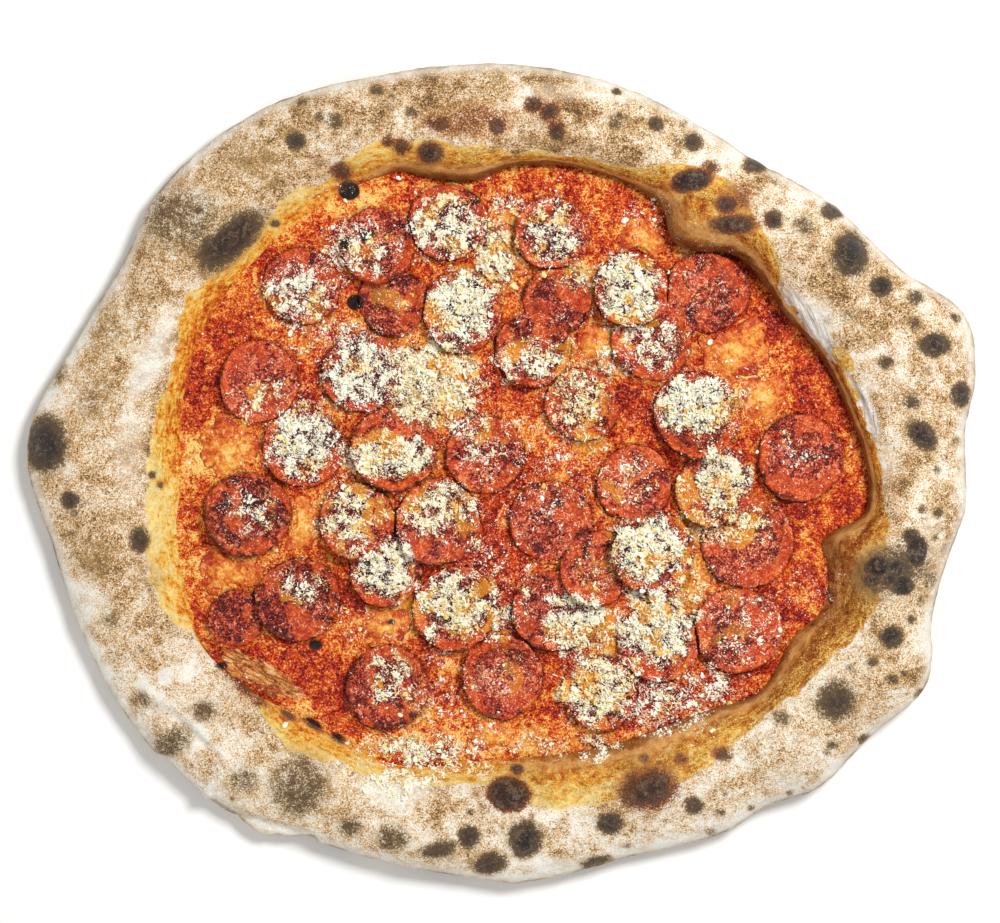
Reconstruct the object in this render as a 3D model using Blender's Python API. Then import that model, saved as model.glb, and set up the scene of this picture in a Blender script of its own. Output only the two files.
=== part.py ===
"""Wood-fired pepperoni pizza with a wide puffed rim, modelled in metres, +Z up.

The pizza lies flat on its baked base. The origin is on the surface it rests on, under the middle of
its outline. Bearings are in degrees, anticlockwise from +X seen from above.
"""

import math
import random

import bmesh
import bpy
from mathutils import Matrix, Vector, noise

MM = 0.001
GAP = 0.35 * MM

BASE_THICKNESS = 3.4 * MM
SAUCE_HEIGHT = 5.9 * MM
SAUCE_EDGE_HEIGHT = 5.0 * MM
SAUCE_WAVE = 0.25 * MM
SLICE_THICKNESS = 1.9 * MM
POOL_THICKNESS = 1.3 * MM
MOUND_HEIGHT = 1.6 * MM

# The sauce thins out from this share of the way to the rim's foot.
SAUCE_THINS_FROM = 0.86

# The rim's plan and section: (bearing, millimetres), joined by smooth closed curves.
OUTER_EDGE = [
    (5, 172.8), (12, 180), (19, 182), (27, 167), (40, 158), (52, 149.5), (75, 151), (105, 154), (122, 161),
    (140, 164), (151, 160), (162, 164), (176, 175), (190, 167), (205, 165), (224, 163), (236, 158.5),
    (244, 151.5), (262, 149), (273, 151), (288, 149), (303, 156.5), (309, 157.5), (315, 165), (325, 168),
    (334, 176), (342, 168.5), (350, 169), (356, 173),
]
INNER_FOOT = [
    (0, 137), (10, 132), (20, 127.5), (30, 122.5), (42, 120.5), (49, 111), (54, 108.5), (59, 116.5),
    (75, 118), (86, 115.5), (95, 110.5), (102, 112.5), (109, 118.5), (136, 118), (150, 119), (165, 117),
    (180, 114), (190, 117.5), (208, 122.5), (221, 120), (232, 114.5), (250, 113), (260, 109), (271, 104.5),
    (283, 106), (303, 111.5), (312, 117), (320, 125.5), (331, 124.5), (338, 129.5), (345, 125.5),
    (349, 122.5), (354, 136),
]
CREST_HEIGHT = [
    (0, 22), (20, 24), (45, 24), (62, 21), (90, 22), (112, 18.5), (140, 17), (180, 16), (205, 15),
    (235, 16.5), (270, 19), (300, 20), (330, 23), (350, 24),
]
# How steep the rim's inner wall is: 0 is a gentle slope, 1 a wall that leans in a little.
WALL_STEEPNESS = [
    (0, 0.9), (45, 1.0), (62, 0.8), (92, 1.0), (106, 0.8), (122, 0.35), (150, 0.15), (180, 0.1), (208, 0.2),
    (228, 0.45), (250, 0.35), (270, 0.5), (290, 0.75), (325, 0.8), (344, 0.5), (352, 0.85),
]
CREST_SHARE_GENTLE = 0.62
CREST_SHARE_STEEP = 0.44
WALL_LEAN = 2.6 * MM
BELLY_SHARE = 0.4
BASE_TUCK = 7 * MM
RIM_ROUGHNESS = 1.1 * MM
RIM_ROUGHNESS_SCALE = 34 * MM

# Swellings and hollows baked into the rim: x, y, radius, height in millimetres.
BULGES = [
    (71, 96, 14, 3.0), (-11, 124, 16, 3.0), (137, -35, 15, 4.0), (56, -115, 13, 3.0), (-72, -113, 14, 2.5),
    (-120, -99, 12, 3.0), (-109, -80, 9, -2.0), (-162, 11, 14, 3.0), (-96, 89, 16, 3.0), (159, 50, 16, 3.0),
    (148, -79, 15, 3.0), (19, 133, 15, 2.5), (-59, 133, 16, 2.5), (-37, -133, 16, 2.0), (108, -102, 15, 2.5),
    (86, 98, 12, 2.5), (4, -118, 11, 2.5), (129, 81, 11, 2.5), (-140, -31, 16, 2.0), (-137, 46, 16, -1.5),
]

# Pepperoni slices, the lowest first: x, y, radius, rim lift (millimetres), bearing of the highest rim.
SLICES = [
    (76.8, 67.6, 15.2, 2.6, 50), (21.5, 64.5, 12.5, 3.4, 160), (-39.5, 64.0, 12.5, 2.0, 20),
    (-42.0, -34.5, 14.0, 3.0, 230), (-97.5, -53.0, 10.5, 1.6, 180), (92.0, -25.0, 17.0, 2.6, 340),
    (19.0, -17.0, 15.0, 1.4, 80), (20.0, -50.5, 15.0, 2.6, 210), (56.5, 50.0, 15.0, 3.4, 10),
    (-45.0, 85.0, 14.0, 2.2, 300), (79.0, -5.0, 14.0, 2.2, 185), (36.5, -34.5, 13.7, 2.8, 330),
    (-19.0, 93.5, 14.3, 2.4, 180), (19.5, 89.5, 13.7, 3.0, 230), (-73.0, 70.0, 14.3, 1.4, 180),
    (-13.7, 60.3, 14.8, 3.6, 180), (-89.0, 34.5, 14.8, 2.2, 160), (-50.7, 38.0, 14.8, 2.2, 180),
    (12.6, 46.3, 14.0, 3.4, 290), (49.0, 68.5, 14.0, 3.4, 280), (30.7, 26.0, 13.5, 3.0, 330),
    (73.3, 22.2, 16.0, 4.2, 290), (111.5, 6.3, 16.0, 2.6, 200), (50.0, -3.3, 14.0, 1.6, 120),
    (57.0, -29.0, 15.2, 3.2, 160), (88.6, -57.6, 16.0, 2.0, 250), (58.8, -62.0, 14.8, 2.6, 330),
    (37.4, -80.7, 14.0, 2.2, 280), (1.2, -74.7, 15.2, 3.6, 120), (-41.5, -78.8, 15.5, 2.8, 60),
    (-74.4, -46.2, 15.5, 2.6, 70), (-93.2, -14.8, 15.9, 3.0, 210), (-72.5, 10.0, 14.8, 1.8, 180),
    (-39.2, 9.3, 15.6, 4.6, 250), (-52.6, -17.4, 14.2, 2.2, 180), (-22.6, -17.4, 15.8, 3.4, 70),
    (-16.3, -49.6, 15.6, 3.0, 290), (-5.2, 7.4, 14.4, 2.6, 95),
]
STACK_DEPTH = 1.6 * MM
# A slice drapes fully over one below out to the first of these shares of that slice's radius, and
# reaches the sauce at the second. One above holds this one flat out to the third, and lets go at the last.
DRAPE_FULL = 1.35
DRAPE_END = 1.8
HELD_FULL = 1.3
HELD_END = 1.7
FLAT_SHARE = 0.45
# How wide the edge is, as a share of a slice or a pool, over which heaped cheese thins out to nothing.
SLICE_HEAP_FADE = 0.3
POOL_HEAP_FADE = 0.4

# Pools of melted cheese between the slices: x, y, greatest reach in millimetres.
POOLS = [
    (-100, 10.5, 11), (-23, 35.5, 13), (-0.5, 81, 10), (88, 44, 13), (97, 28.5, 9), (37.5, 47, 9),
    (-101, -37, 11), (-73.5, -18.5, 9), (-2.5, -97, 8), (42, -53.5, 8), (71, -42.5, 8), (-42, -56.5, 9),
    (53, 86, 9),
]
# A pool stops at this share of the way to the rim's foot, and at this share of a slice's radius.
POOL_RIM_STOP = 0.97
POOL_SLICE_STOP = 1.04
POOL_EDGE_THINNING = 0.7

# Heaps of grated hard cheese: x, y, radius in millimetres, and how thickly it lies, 0 to 1.
HEAPS = [
    (-19, 94, 13, 0.6), (18, 90, 12, 0.6), (-74, 66, 12, 0.55), (-52, 83, 10, 0.45), (-14, 60, 14, 1.0),
    (-1, 81, 9, 0.8), (47, 69, 12, 0.95), (-51, 38, 14, 0.9), (-24, 36, 13, 1.0), (-72, 10, 13, 0.9),
    (-43, 9, 12, 0.95), (-91, -13, 10, 0.45), (-55, -15, 10, 0.6), (-25, -14, 13, 0.75), (-40, -35, 10, 0.75),
    (-17, -48, 12, 0.85), (-74, -43, 8, 0.55), (-40, -75, 9, 0.45), (27, -58, 10, 0.85), (37, -80, 13, 0.7),
    (57, -59, 13, 0.85), (58, -29, 13, 0.95), (81, -2, 10, 0.9), (87, -19, 12, 0.6), (74, 25, 14, 1.0),
    (30, 28, 10, 0.5), (56, 46, 11, 0.45), (11, 44, 11, 0.4), (89, -57, 13, 0.3), (-88, 30, 10, 0.35),
]
CRUMB_RADIUS = (1.1 * MM, 1.9 * MM)
CRUMBS_AT_FULL_HEAP = 3
CRUMB_SPREAD = (0.35, 0.6)
CRUMB_REACH = 0.78
CRUMB_CLEARANCE = 1.3
CRUMB_SEED = 7

RIM_AROUND = 108
SAUCE_AROUND = 48
SLICE_AROUND = 16
POOL_AROUND = 12


def closed_curve(points):
    """Returns value(degrees), a smooth closed curve through (bearing, millimetres) points, in metres."""
    before = [(bearing - 360, value) for bearing, value in points[-2:]]
    after = [(bearing + 360, value) for bearing, value in points[:2]]
    knots = before + points + after

    def slope(k):
        (a, low), (b, high) = knots[k - 1], knots[k + 1]
        return (high - low) / (b - a)

    def value(degrees):
        degrees %= 360
        k = max(n for n in range(1, len(knots) - 2) if knots[n][0] <= degrees)
        (a, start), (b, end) = knots[k], knots[k + 1]
        step = b - a
        t = (degrees - a) / step
        rise = t * t * (3 - 2 * t)
        bend = t * (1 - t) * ((1 - t) * slope(k) - t * slope(k + 1)) * step
        return (start + (end - start) * rise + bend) * MM

    return value


outer_edge = closed_curve(OUTER_EDGE)
inner_foot = closed_curve(INNER_FOOT)
crest_height = closed_curve(CREST_HEIGHT)
wall_steepness = closed_curve([(bearing, share / MM) for bearing, share in WALL_STEEPNESS])


def smooth(t):
    """Rises from 0 to 1 with flat ends as t goes from 0 to 1."""
    t = min(1.0, max(0.0, t))
    return t * t * (3 - 2 * t)


def blend(a, b, share):
    return a + (b - a) * share


def swell(x, y):
    """Height that the bulges add to the rim at a point."""
    total = 0.0
    for centre_x, centre_y, radius, height in BULGES:
        away = math.hypot(x / MM - centre_x, y / MM - centre_y) / radius
        total += height * MM * math.exp(-away * away * 1.5)
    return total


def roughness(x, y):
    return RIM_ROUGHNESS * noise.noise(Vector((x, y, 0)) / RIM_ROUGHNESS_SCALE)


def sauce_top(x, y):
    """Height of the sauce, which is gently wavy and thins out towards the rim."""
    reach = math.hypot(x, y) / inner_foot(math.degrees(math.atan2(y, x)))
    wave = SAUCE_WAVE * (math.sin(x / (7 * MM) + 1) + math.cos(y / (8 * MM)))
    thinned = smooth((reach - SAUCE_THINS_FROM) / (1 - SAUCE_THINS_FROM))
    return blend(SAUCE_HEIGHT + wave * 0.5, SAUCE_EDGE_HEIGHT, thinned)


def mound(x, y):
    """Height of the grated cheese that lies heaped at a point."""
    highest = 0.0
    for centre_x, centre_y, radius, amount in HEAPS:
        away = math.hypot(x / MM - centre_x, y / MM - centre_y) / radius
        highest = max(highest, MOUND_HEIGHT * amount * smooth(1.2 - away))
    return highest


def place(index):
    """A slice's centre and radius in metres."""
    x, y, radius = SLICES[index][:3]
    return x * MM, y * MM, radius * MM


def spacing(first, second):
    """Distance between two slices' centres, and how far their circles overlap."""
    ax, ay, a_radius = place(first)
    bx, by, b_radius = place(second)
    distance = math.hypot(bx - ax, by - ay)
    return distance, a_radius + b_radius - distance


def stacked(first, second):
    return spacing(first, second)[1] > STACK_DEPTH


def below(index):
    return [other for other in range(index) if stacked(index, other)]


def above(index):
    return [other for other in range(index + 1, len(SLICES)) if stacked(index, other)]


def beside(index):
    """Slices that this one only touches, so each is pressed flat where they meet."""
    return [
        other for other in range(len(SLICES))
        if other != index and -GAP * 6 < spacing(index, other)[1] <= STACK_DEPTH
    ]


BELOW = [below(index) for index in range(len(SLICES))]
ABOVE = [above(index) for index in range(len(SLICES))]
BESIDE = [beside(index) for index in range(len(SLICES))]


def slice_edge(index, bearing):
    """A slice's radius along a bearing in radians: nearly round, and cut back beside a neighbour."""
    x, y, radius = place(index)
    edge = radius * (1 + 0.022 * math.cos(2 * bearing + index) + 0.014 * math.cos(3 * bearing + 2 * index))
    for other in BESIDE[index]:
        other_x, other_y, other_radius = place(other)
        distance = spacing(index, other)[0]
        meeting = (distance**2 + radius**2 - other_radius**2) / (2 * distance) - GAP
        facing = math.cos(bearing - math.atan2(other_y - y, other_x - x))
        if facing > 0.2:
            edge = min(edge, meeting / facing)
    return edge


def share_out(index, x, y):
    """How far out a point is on a slice: 0 at its middle, 1 at its edge, more beyond it."""
    centre_x, centre_y, _ = place(index)
    bearing = math.atan2(y - centre_y, x - centre_x)
    return math.hypot(x - centre_x, y - centre_y) / slice_edge(index, bearing)


def held_down(index, x, y):
    """How firmly slices above press on this one at a point, 0 to 1."""
    presses = [(HELD_END - share_out(other, x, y)) / (HELD_END - HELD_FULL) for other in ABOVE[index]]
    return smooth(max(presses, default=0.0))


def rim_lift(index, x, y):
    """How far the heat has curled a slice up at a point, less where another slice holds it down."""
    centre_x, centre_y, _ = place(index)
    lift, heading = SLICES[index][3] * MM, math.radians(SLICES[index][4])
    bearing = math.atan2(y - centre_y, x - centre_x)
    turn = 0.4 + 0.6 * (0.5 + 0.5 * math.cos(bearing - heading))
    curl = smooth((min(1.0, share_out(index, x, y)) - FLAT_SHARE) / (1 - FLAT_SHARE))
    return lift * turn * curl * (1 - held_down(index, x, y))


def slice_underside(index, x, y):
    """Height of a slice's underside: on the sauce, or draped over a slice below it."""
    height = sauce_top(x, y) + GAP
    for other in BELOW[index]:
        out = share_out(other, x, y)
        if out < DRAPE_END:
            over = slice_underside(other, x, y) + SLICE_THICKNESS + 2 * GAP
            height = max(height, blend(height, over, smooth((DRAPE_END - out) / (DRAPE_END - DRAPE_FULL))))
    return height + rim_lift(index, x, y)


def slice_top(index, x, y):
    """Height of a slice's upper side, with any grated cheese that is heaped there."""
    heap = mound(x, y) * smooth((1 - share_out(index, x, y)) / SLICE_HEAP_FADE) * (1 - held_down(index, x, y))
    return slice_underside(index, x, y) + SLICE_THICKNESS + heap


def rim_section(bearing):
    """The rim's section along a bearing: (radius, height) from its inner foot, over the top, to its base."""
    degrees = math.degrees(bearing)
    outer, foot = outer_edge(degrees), inner_foot(degrees)
    crest, steep = crest_height(degrees), wall_steepness(degrees)
    crest_radius = blend(foot, outer, blend(CREST_SHARE_GENTLE, CREST_SHARE_STEEP, steep))
    belly = crest * BELLY_SHARE
    section = []
    for t in (0, 0.12, 0.26, 0.42, 0.6, 0.8):
        quarter = t * math.pi / 2
        slope_radius = blend(foot, crest_radius, t)
        wall_radius = blend(foot, crest_radius, 1 - math.cos(quarter)) - WALL_LEAN * steep * math.sin(math.pi * t)
        rise = blend(smooth(t), math.sin(quarter), steep)
        section.append((blend(slope_radius, wall_radius, steep), blend(BASE_THICKNESS, crest, rise), rise))
    for t in (0, 0.25, 0.5, 0.75, 1):
        quarter = t * math.pi / 2
        radius = blend(crest_radius, outer, math.sin(quarter))
        section.append((radius, blend(belly, crest, math.cos(quarter)), math.cos(quarter)))
    for t in (0.5, 1):
        quarter = t * math.pi / 2
        section.append((outer - BASE_TUCK * (1 - math.cos(quarter)), belly * (1 - math.sin(quarter)), 0))
    lumpy = []
    for radius, height, relief in section:
        x, y = radius * math.cos(bearing), radius * math.sin(bearing)
        lumpy.append((radius, height + relief * (swell(x, y) + roughness(x, y))))
    return lumpy


def crust_rows(bearing):
    foot = inner_foot(math.degrees(bearing))
    recess = [(0, BASE_THICKNESS), (foot * 0.5, BASE_THICKNESS)]
    base = outer_edge(math.degrees(bearing)) - BASE_TUCK
    return recess + rim_section(bearing) + [(base * 0.5, 0), (0, 0)]


def sauce_rows(bearing):
    degrees = math.degrees(bearing)
    edge = min(inner_foot(degrees + turn) for turn in (-2.5, 0, 2.5)) - GAP * 3
    direction = Vector((math.cos(bearing), math.sin(bearing)))
    rows = []
    for share in (0, 0.16, 0.33, 0.5, 0.66, 0.82, 0.93, 1):
        point = direction * edge * share
        rows.append((edge * share, sauce_top(*point)))
    return rows + [(edge, BASE_THICKNESS + GAP), (edge * 0.5, BASE_THICKNESS + GAP), (0, BASE_THICKNESS + GAP)]


def slice_rows(index):
    centre_x, centre_y, _ = place(index)

    def rows(bearing):
        edge = slice_edge(index, bearing)
        section = []
        for share, height in [
            (0, slice_top), (0.5, slice_top), (0.84, slice_top), (1, slice_top),
            (0.95, slice_underside), (0.6, slice_underside), (0, slice_underside),
        ]:
            x = centre_x + edge * share * math.cos(bearing)
            y = centre_y + edge * share * math.sin(bearing)
            section.append((edge * share, height(index, x, y)))
        return section

    return rows


def pool_reach(index, bearing):
    """How far a cheese pool runs along a bearing before it meets a slice or the rim."""
    centre_x, centre_y, reach = (value * MM for value in POOLS[index])
    reach *= 1 + 0.1 * math.cos(3 * bearing + index) + 0.06 * math.cos(5 * bearing)
    step = 0.25 * MM
    travelled = step
    while travelled < reach:
        ahead = travelled + 3 * GAP
        ahead_x = centre_x + ahead * math.cos(bearing)
        ahead_y = centre_y + ahead * math.sin(bearing)
        rim = math.hypot(ahead_x, ahead_y) / inner_foot(math.degrees(math.atan2(ahead_y, ahead_x)))
        away = [math.hypot(ahead_x - x * MM, ahead_y - y * MM) for x, y, _ in POOLS]
        if rim > POOL_RIM_STOP or min(away) < away[index]:
            break
        if any(share_out(other, ahead_x, ahead_y) < POOL_SLICE_STOP for other in range(len(SLICES))):
            break
        travelled += step
    return travelled


def pool_share(index, x, y):
    """How far out a point is in a pool: 0 at its middle and 1 at its edge."""
    away_x, away_y = x - POOLS[index][0] * MM, y - POOLS[index][1] * MM
    return math.hypot(away_x, away_y) / pool_reach(index, math.atan2(away_y, away_x))


def pool_top(index, x, y):
    """Height of a pool's upper side, which rounds off towards its edge."""
    share = pool_share(index, x, y)
    thickness = POOL_THICKNESS * (1 - POOL_EDGE_THINNING * smooth(share) * share)
    return sauce_top(x, y) + GAP + thickness + mound(x, y) * smooth((1 - share) / POOL_HEAP_FADE)


def pool_underside(index, x, y):
    return sauce_top(x, y) + GAP


def pool_rows(index):
    centre_x, centre_y = POOLS[index][0] * MM, POOLS[index][1] * MM

    def rows(bearing):
        reach = pool_reach(index, bearing)
        section = []
        for share, height in [
            (0, pool_top), (0.65, pool_top), (1, pool_top),
            (0.97, pool_underside), (0.5, pool_underside), (0, pool_underside),
        ]:
            x = centre_x + reach * share * math.cos(bearing)
            y = centre_y + reach * share * math.sin(bearing)
            section.append((reach * share, height(index, x, y)))
        return section

    return rows


def material(name, colour, roughness_value):
    """A plain Principled material."""
    made = bpy.data.materials.new(name)
    made.use_nodes = True
    shader = made.node_tree.nodes["Principled BSDF"]
    shader.inputs["Base Color"].default_value = (*colour, 1)
    shader.inputs["Roughness"].default_value = roughness_value
    shader.inputs["Metallic"].default_value = 0
    return made


def lofted(name, rows, around, collection, finish, centre=(0, 0)):
    """A closed solid lofted through its sections, which run from its top middle to its underside's middle.

    A flat grid is wrapped round the axis, so its two side edges meet and its two end rows shrink to points.
    """
    sections = [rows(2 * math.pi * n / around) for n in range(around)]
    along = len(sections[0])
    mesh = bmesh.new()
    bmesh.ops.create_grid(mesh, x_segments=around, y_segments=along - 1, size=0.5)
    for vertex in mesh.verts:
        turn = round((vertex.co.x + 0.5) * around) % around
        radius, height = sections[turn][round((0.5 - vertex.co.y) * (along - 1))]
        bearing = 2 * math.pi * turn / around
        vertex.co = (radius * math.cos(bearing), radius * math.sin(bearing), height)
    bmesh.ops.remove_doubles(mesh, verts=mesh.verts, dist=0.01 * MM)
    bmesh.ops.recalc_face_normals(mesh, faces=mesh.faces)
    data = bpy.data.meshes.new(name)
    mesh.to_mesh(data)
    mesh.free()
    data.shade_smooth()
    data.materials.append(finish)
    solid = bpy.data.objects.new(name, data)
    solid.location = (*centre, 0)
    collection.objects.link(solid)
    return solid


def crumb(name, point, radius, draw, collection, finish):
    """One angular crumb of grated cheese, half sunk in what it lies on."""
    mesh = bmesh.new()
    bmesh.ops.create_icosphere(mesh, subdivisions=1, radius=1)
    stretch = Matrix.Diagonal((radius * draw.uniform(0.8, 1.3), radius, radius * 0.75, 1))
    turn = Matrix.Rotation(draw.uniform(0, math.pi), 4, "Z")
    bmesh.ops.transform(mesh, matrix=Matrix.Translation(point) @ turn @ stretch, verts=mesh.verts)
    data = bpy.data.meshes.new(name)
    mesh.to_mesh(data)
    mesh.free()
    data.materials.append(finish)
    grain = bpy.data.objects.new(name, data)
    collection.objects.link(grain)


def fuse_crumbs(solid, points, draw, finish):
    """Joins crumbs at these points to a solid with one Boolean union."""
    if not points:
        return
    grains = bpy.data.collections.new(solid.name + "_crumbs")
    bpy.context.scene.collection.children.link(grains)
    for number, point in enumerate(points):
        crumb(f"{solid.name}_crumb_{number}", point, draw.uniform(*CRUMB_RADIUS), draw, grains, finish)
    union = solid.modifiers.new("crumbs", "BOOLEAN")
    union.operation = "UNION"
    union.operand_type = "COLLECTION"
    union.collection = grains
    bpy.context.view_layer.update()
    joined = bpy.data.meshes.new_from_object(solid.evaluated_get(bpy.context.evaluated_depsgraph_get()))
    solid.modifiers.clear()
    solid.data = joined
    for grain in list(grains.objects):
        bpy.data.objects.remove(grain)
    bpy.data.collections.remove(grains)


def crumb_points(index, draw, share, top, covers):
    """Where crumbs lie on a slice or a pool: inside its heaps, off its edge and clear of slices over it."""
    points = []
    for heap_x, heap_y, heap_radius, amount in HEAPS:
        x, y = heap_x * MM, heap_y * MM
        if share(index, x, y) > CRUMB_REACH:
            continue
        wanted = max(1, round(CRUMBS_AT_FULL_HEAP * amount))
        start = draw.uniform(0, 2 * math.pi)
        for number in range(wanted):
            bearing = start + 2 * math.pi * number / wanted
            away = heap_radius * MM * draw.uniform(*CRUMB_SPREAD)
            crumb_x, crumb_y = x + away * math.cos(bearing), y + away * math.sin(bearing)
            covered = any(share_out(other, crumb_x, crumb_y) < CRUMB_CLEARANCE for other in covers)
            if share(index, crumb_x, crumb_y) < CRUMB_REACH and not covered:
                points.append(Vector((crumb_x, crumb_y, top(index, crumb_x, crumb_y))))
    return points


def build():
    for leftover in list(bpy.data.objects):
        bpy.data.objects.remove(leftover)
    pizza = bpy.data.collections.new("pizza")
    bpy.context.scene.collection.children.link(pizza)

    crust_finish = material("baked dough", (0.72, 0.53, 0.34), 0.8)
    sauce_finish = material("tomato sauce", (0.47, 0.09, 0.03), 0.35)
    cheese_finish = material("melted cheese", (0.76, 0.35, 0.08), 0.4)
    meat_finish = material("pepperoni", (0.36, 0.07, 0.03), 0.4)
    grated_finish = material("grated cheese", (0.82, 0.76, 0.58), 0.7)

    parts = [
        lofted("crust", crust_rows, RIM_AROUND, pizza, crust_finish),
        lofted("sauce", sauce_rows, SAUCE_AROUND, pizza, sauce_finish),
    ]
    draw = random.Random(CRUMB_SEED)
    for index, (x, y, _) in enumerate(POOLS):
        name = f"melted_cheese_{index + 1:02d}"
        pool = lofted(name, pool_rows(index), POOL_AROUND, pizza, cheese_finish, (x * MM, y * MM))
        points = crumb_points(index, draw, pool_share, pool_top, [])
        fuse_crumbs(pool, points, draw, grated_finish)
        parts.append(pool)
    for index in range(len(SLICES)):
        name = f"pepperoni_{index + 1:02d}"
        piece = lofted(name, slice_rows(index), SLICE_AROUND, pizza, meat_finish, place(index)[:2])
        points = crumb_points(index, draw, share_out, slice_top, ABOVE[index])
        fuse_crumbs(piece, points, draw, grated_finish)
        parts.append(piece)

    # The outline's box is centred on the origin, whatever its lobes add on each side.
    corners = [corner.co for corner in parts[0].data.vertices]
    middle_x = (min(c.x for c in corners) + max(c.x for c in corners)) / 2
    middle_y = (min(c.y for c in corners) + max(c.y for c in corners)) / 2
    centre = bpy.data.objects.new("centre", None)
    centre.location = (-middle_x, -middle_y, 0)
    pizza.objects.link(centre)
    for part in parts:
        part.parent = centre


build()
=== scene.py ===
"""Looks of a wood-fired pepperoni pizza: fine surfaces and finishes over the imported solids.

Lengths in the tables are millimetres from the pizza's own middle, bearings are degrees anticlockwise
from +X, and spot() turns a place in picture units into metres from the pizza's own middle.
"""

import math

import bpy
import numpy as np
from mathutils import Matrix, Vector, noise


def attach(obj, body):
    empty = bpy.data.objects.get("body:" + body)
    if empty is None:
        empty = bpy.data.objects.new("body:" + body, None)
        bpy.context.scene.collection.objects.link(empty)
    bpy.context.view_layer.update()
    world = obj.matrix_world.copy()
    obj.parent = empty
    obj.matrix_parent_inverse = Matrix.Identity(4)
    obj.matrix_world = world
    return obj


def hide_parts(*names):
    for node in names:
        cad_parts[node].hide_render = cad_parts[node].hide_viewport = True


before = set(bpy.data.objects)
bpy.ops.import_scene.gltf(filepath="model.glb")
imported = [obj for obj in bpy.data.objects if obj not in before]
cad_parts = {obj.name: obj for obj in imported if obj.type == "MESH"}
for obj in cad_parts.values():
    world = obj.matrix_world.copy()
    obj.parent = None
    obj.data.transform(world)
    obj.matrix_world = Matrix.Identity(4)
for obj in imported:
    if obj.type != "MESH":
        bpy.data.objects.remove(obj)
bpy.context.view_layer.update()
MM = 0.001
GAP = 0.35 * MM

# Form of the dough, sauce and slices, the same values as in the solids.
BASE_THICKNESS = 3.4 * MM
SAUCE_HEIGHT = 5.9 * MM
SAUCE_EDGE_HEIGHT = 5.0 * MM
SAUCE_WAVE = 0.25 * MM
SLICE_THICKNESS = 1.9 * MM
POOL_THICKNESS = 1.3 * MM
MOUND_HEIGHT = 1.6 * MM
OUTER_EDGE = [
    (5, 172.8), (12, 180), (19, 182), (27, 167), (40, 158), (52, 149.5), (75, 151), (105, 154), (122, 161),
    (140, 164), (151, 160), (162, 164), (176, 175), (190, 167), (205, 165), (224, 163), (236, 158.5),
    (244, 151.5), (262, 149), (273, 151), (288, 149), (303, 156.5), (309, 157.5), (315, 165), (325, 168),
    (334, 176), (342, 168.5), (350, 169), (356, 173),
]
INNER_FOOT = [
    (0, 137), (10, 132), (20, 127.5), (30, 122.5), (42, 120.5), (49, 111), (54, 108.5), (59, 116.5),
    (75, 118), (86, 115.5), (95, 110.5), (102, 112.5), (109, 118.5), (136, 118), (150, 119), (165, 117),
    (180, 114), (190, 117.5), (208, 122.5), (221, 120), (232, 114.5), (250, 113), (260, 109), (271, 104.5),
    (283, 106), (303, 111.5), (312, 117), (320, 125.5), (331, 124.5), (338, 129.5), (345, 125.5),
    (349, 122.5), (354, 136),
]
CREST_HEIGHT = [
    (0, 22), (20, 24), (45, 24), (62, 21), (90, 22), (112, 18.5), (140, 17), (180, 16), (205, 15),
    (235, 16.5), (270, 19), (300, 20), (330, 23), (350, 24),
]
WALL_STEEPNESS = [
    (0, 0.9), (45, 1.0), (62, 0.8), (92, 1.0), (106, 0.8), (122, 0.35), (150, 0.15), (180, 0.1),
    (208, 0.2), (228, 0.45), (250, 0.35), (270, 0.5), (290, 0.75), (325, 0.8), (344, 0.5), (352, 0.85),
]
CREST_SHARE_GENTLE = 0.62
CREST_SHARE_STEEP = 0.44
WALL_LEAN = 2.6 * MM
BELLY_SHARE = 0.4
BASE_TUCK = 7 * MM
RIM_ROUGHNESS = 1.1 * MM
RIM_ROUGHNESS_SCALE = 34 * MM
BULGES = [
    (71, 96, 14, 3.0), (-11, 124, 16, 3.0), (137, -35, 15, 4.0), (56, -115, 13, 3.0), (-72, -113, 14, 2.5),
    (-120, -99, 12, 3.0), (-109, -80, 9, -2.0), (-162, 11, 14, 3.0), (-96, 89, 16, 3.0),
    (159, 50, 16, 3.0), (148, -79, 15, 3.0), (19, 133, 15, 2.5), (-59, 133, 16, 2.5), (-37, -133, 16, 2.0),
    (108, -102, 15, 2.5), (86, 98, 12, 2.5), (4, -118, 11, 2.5), (129, 81, 11, 2.5), (-140, -31, 16, 2.0),
    (-137, 46, 16, -1.5),
]

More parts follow.
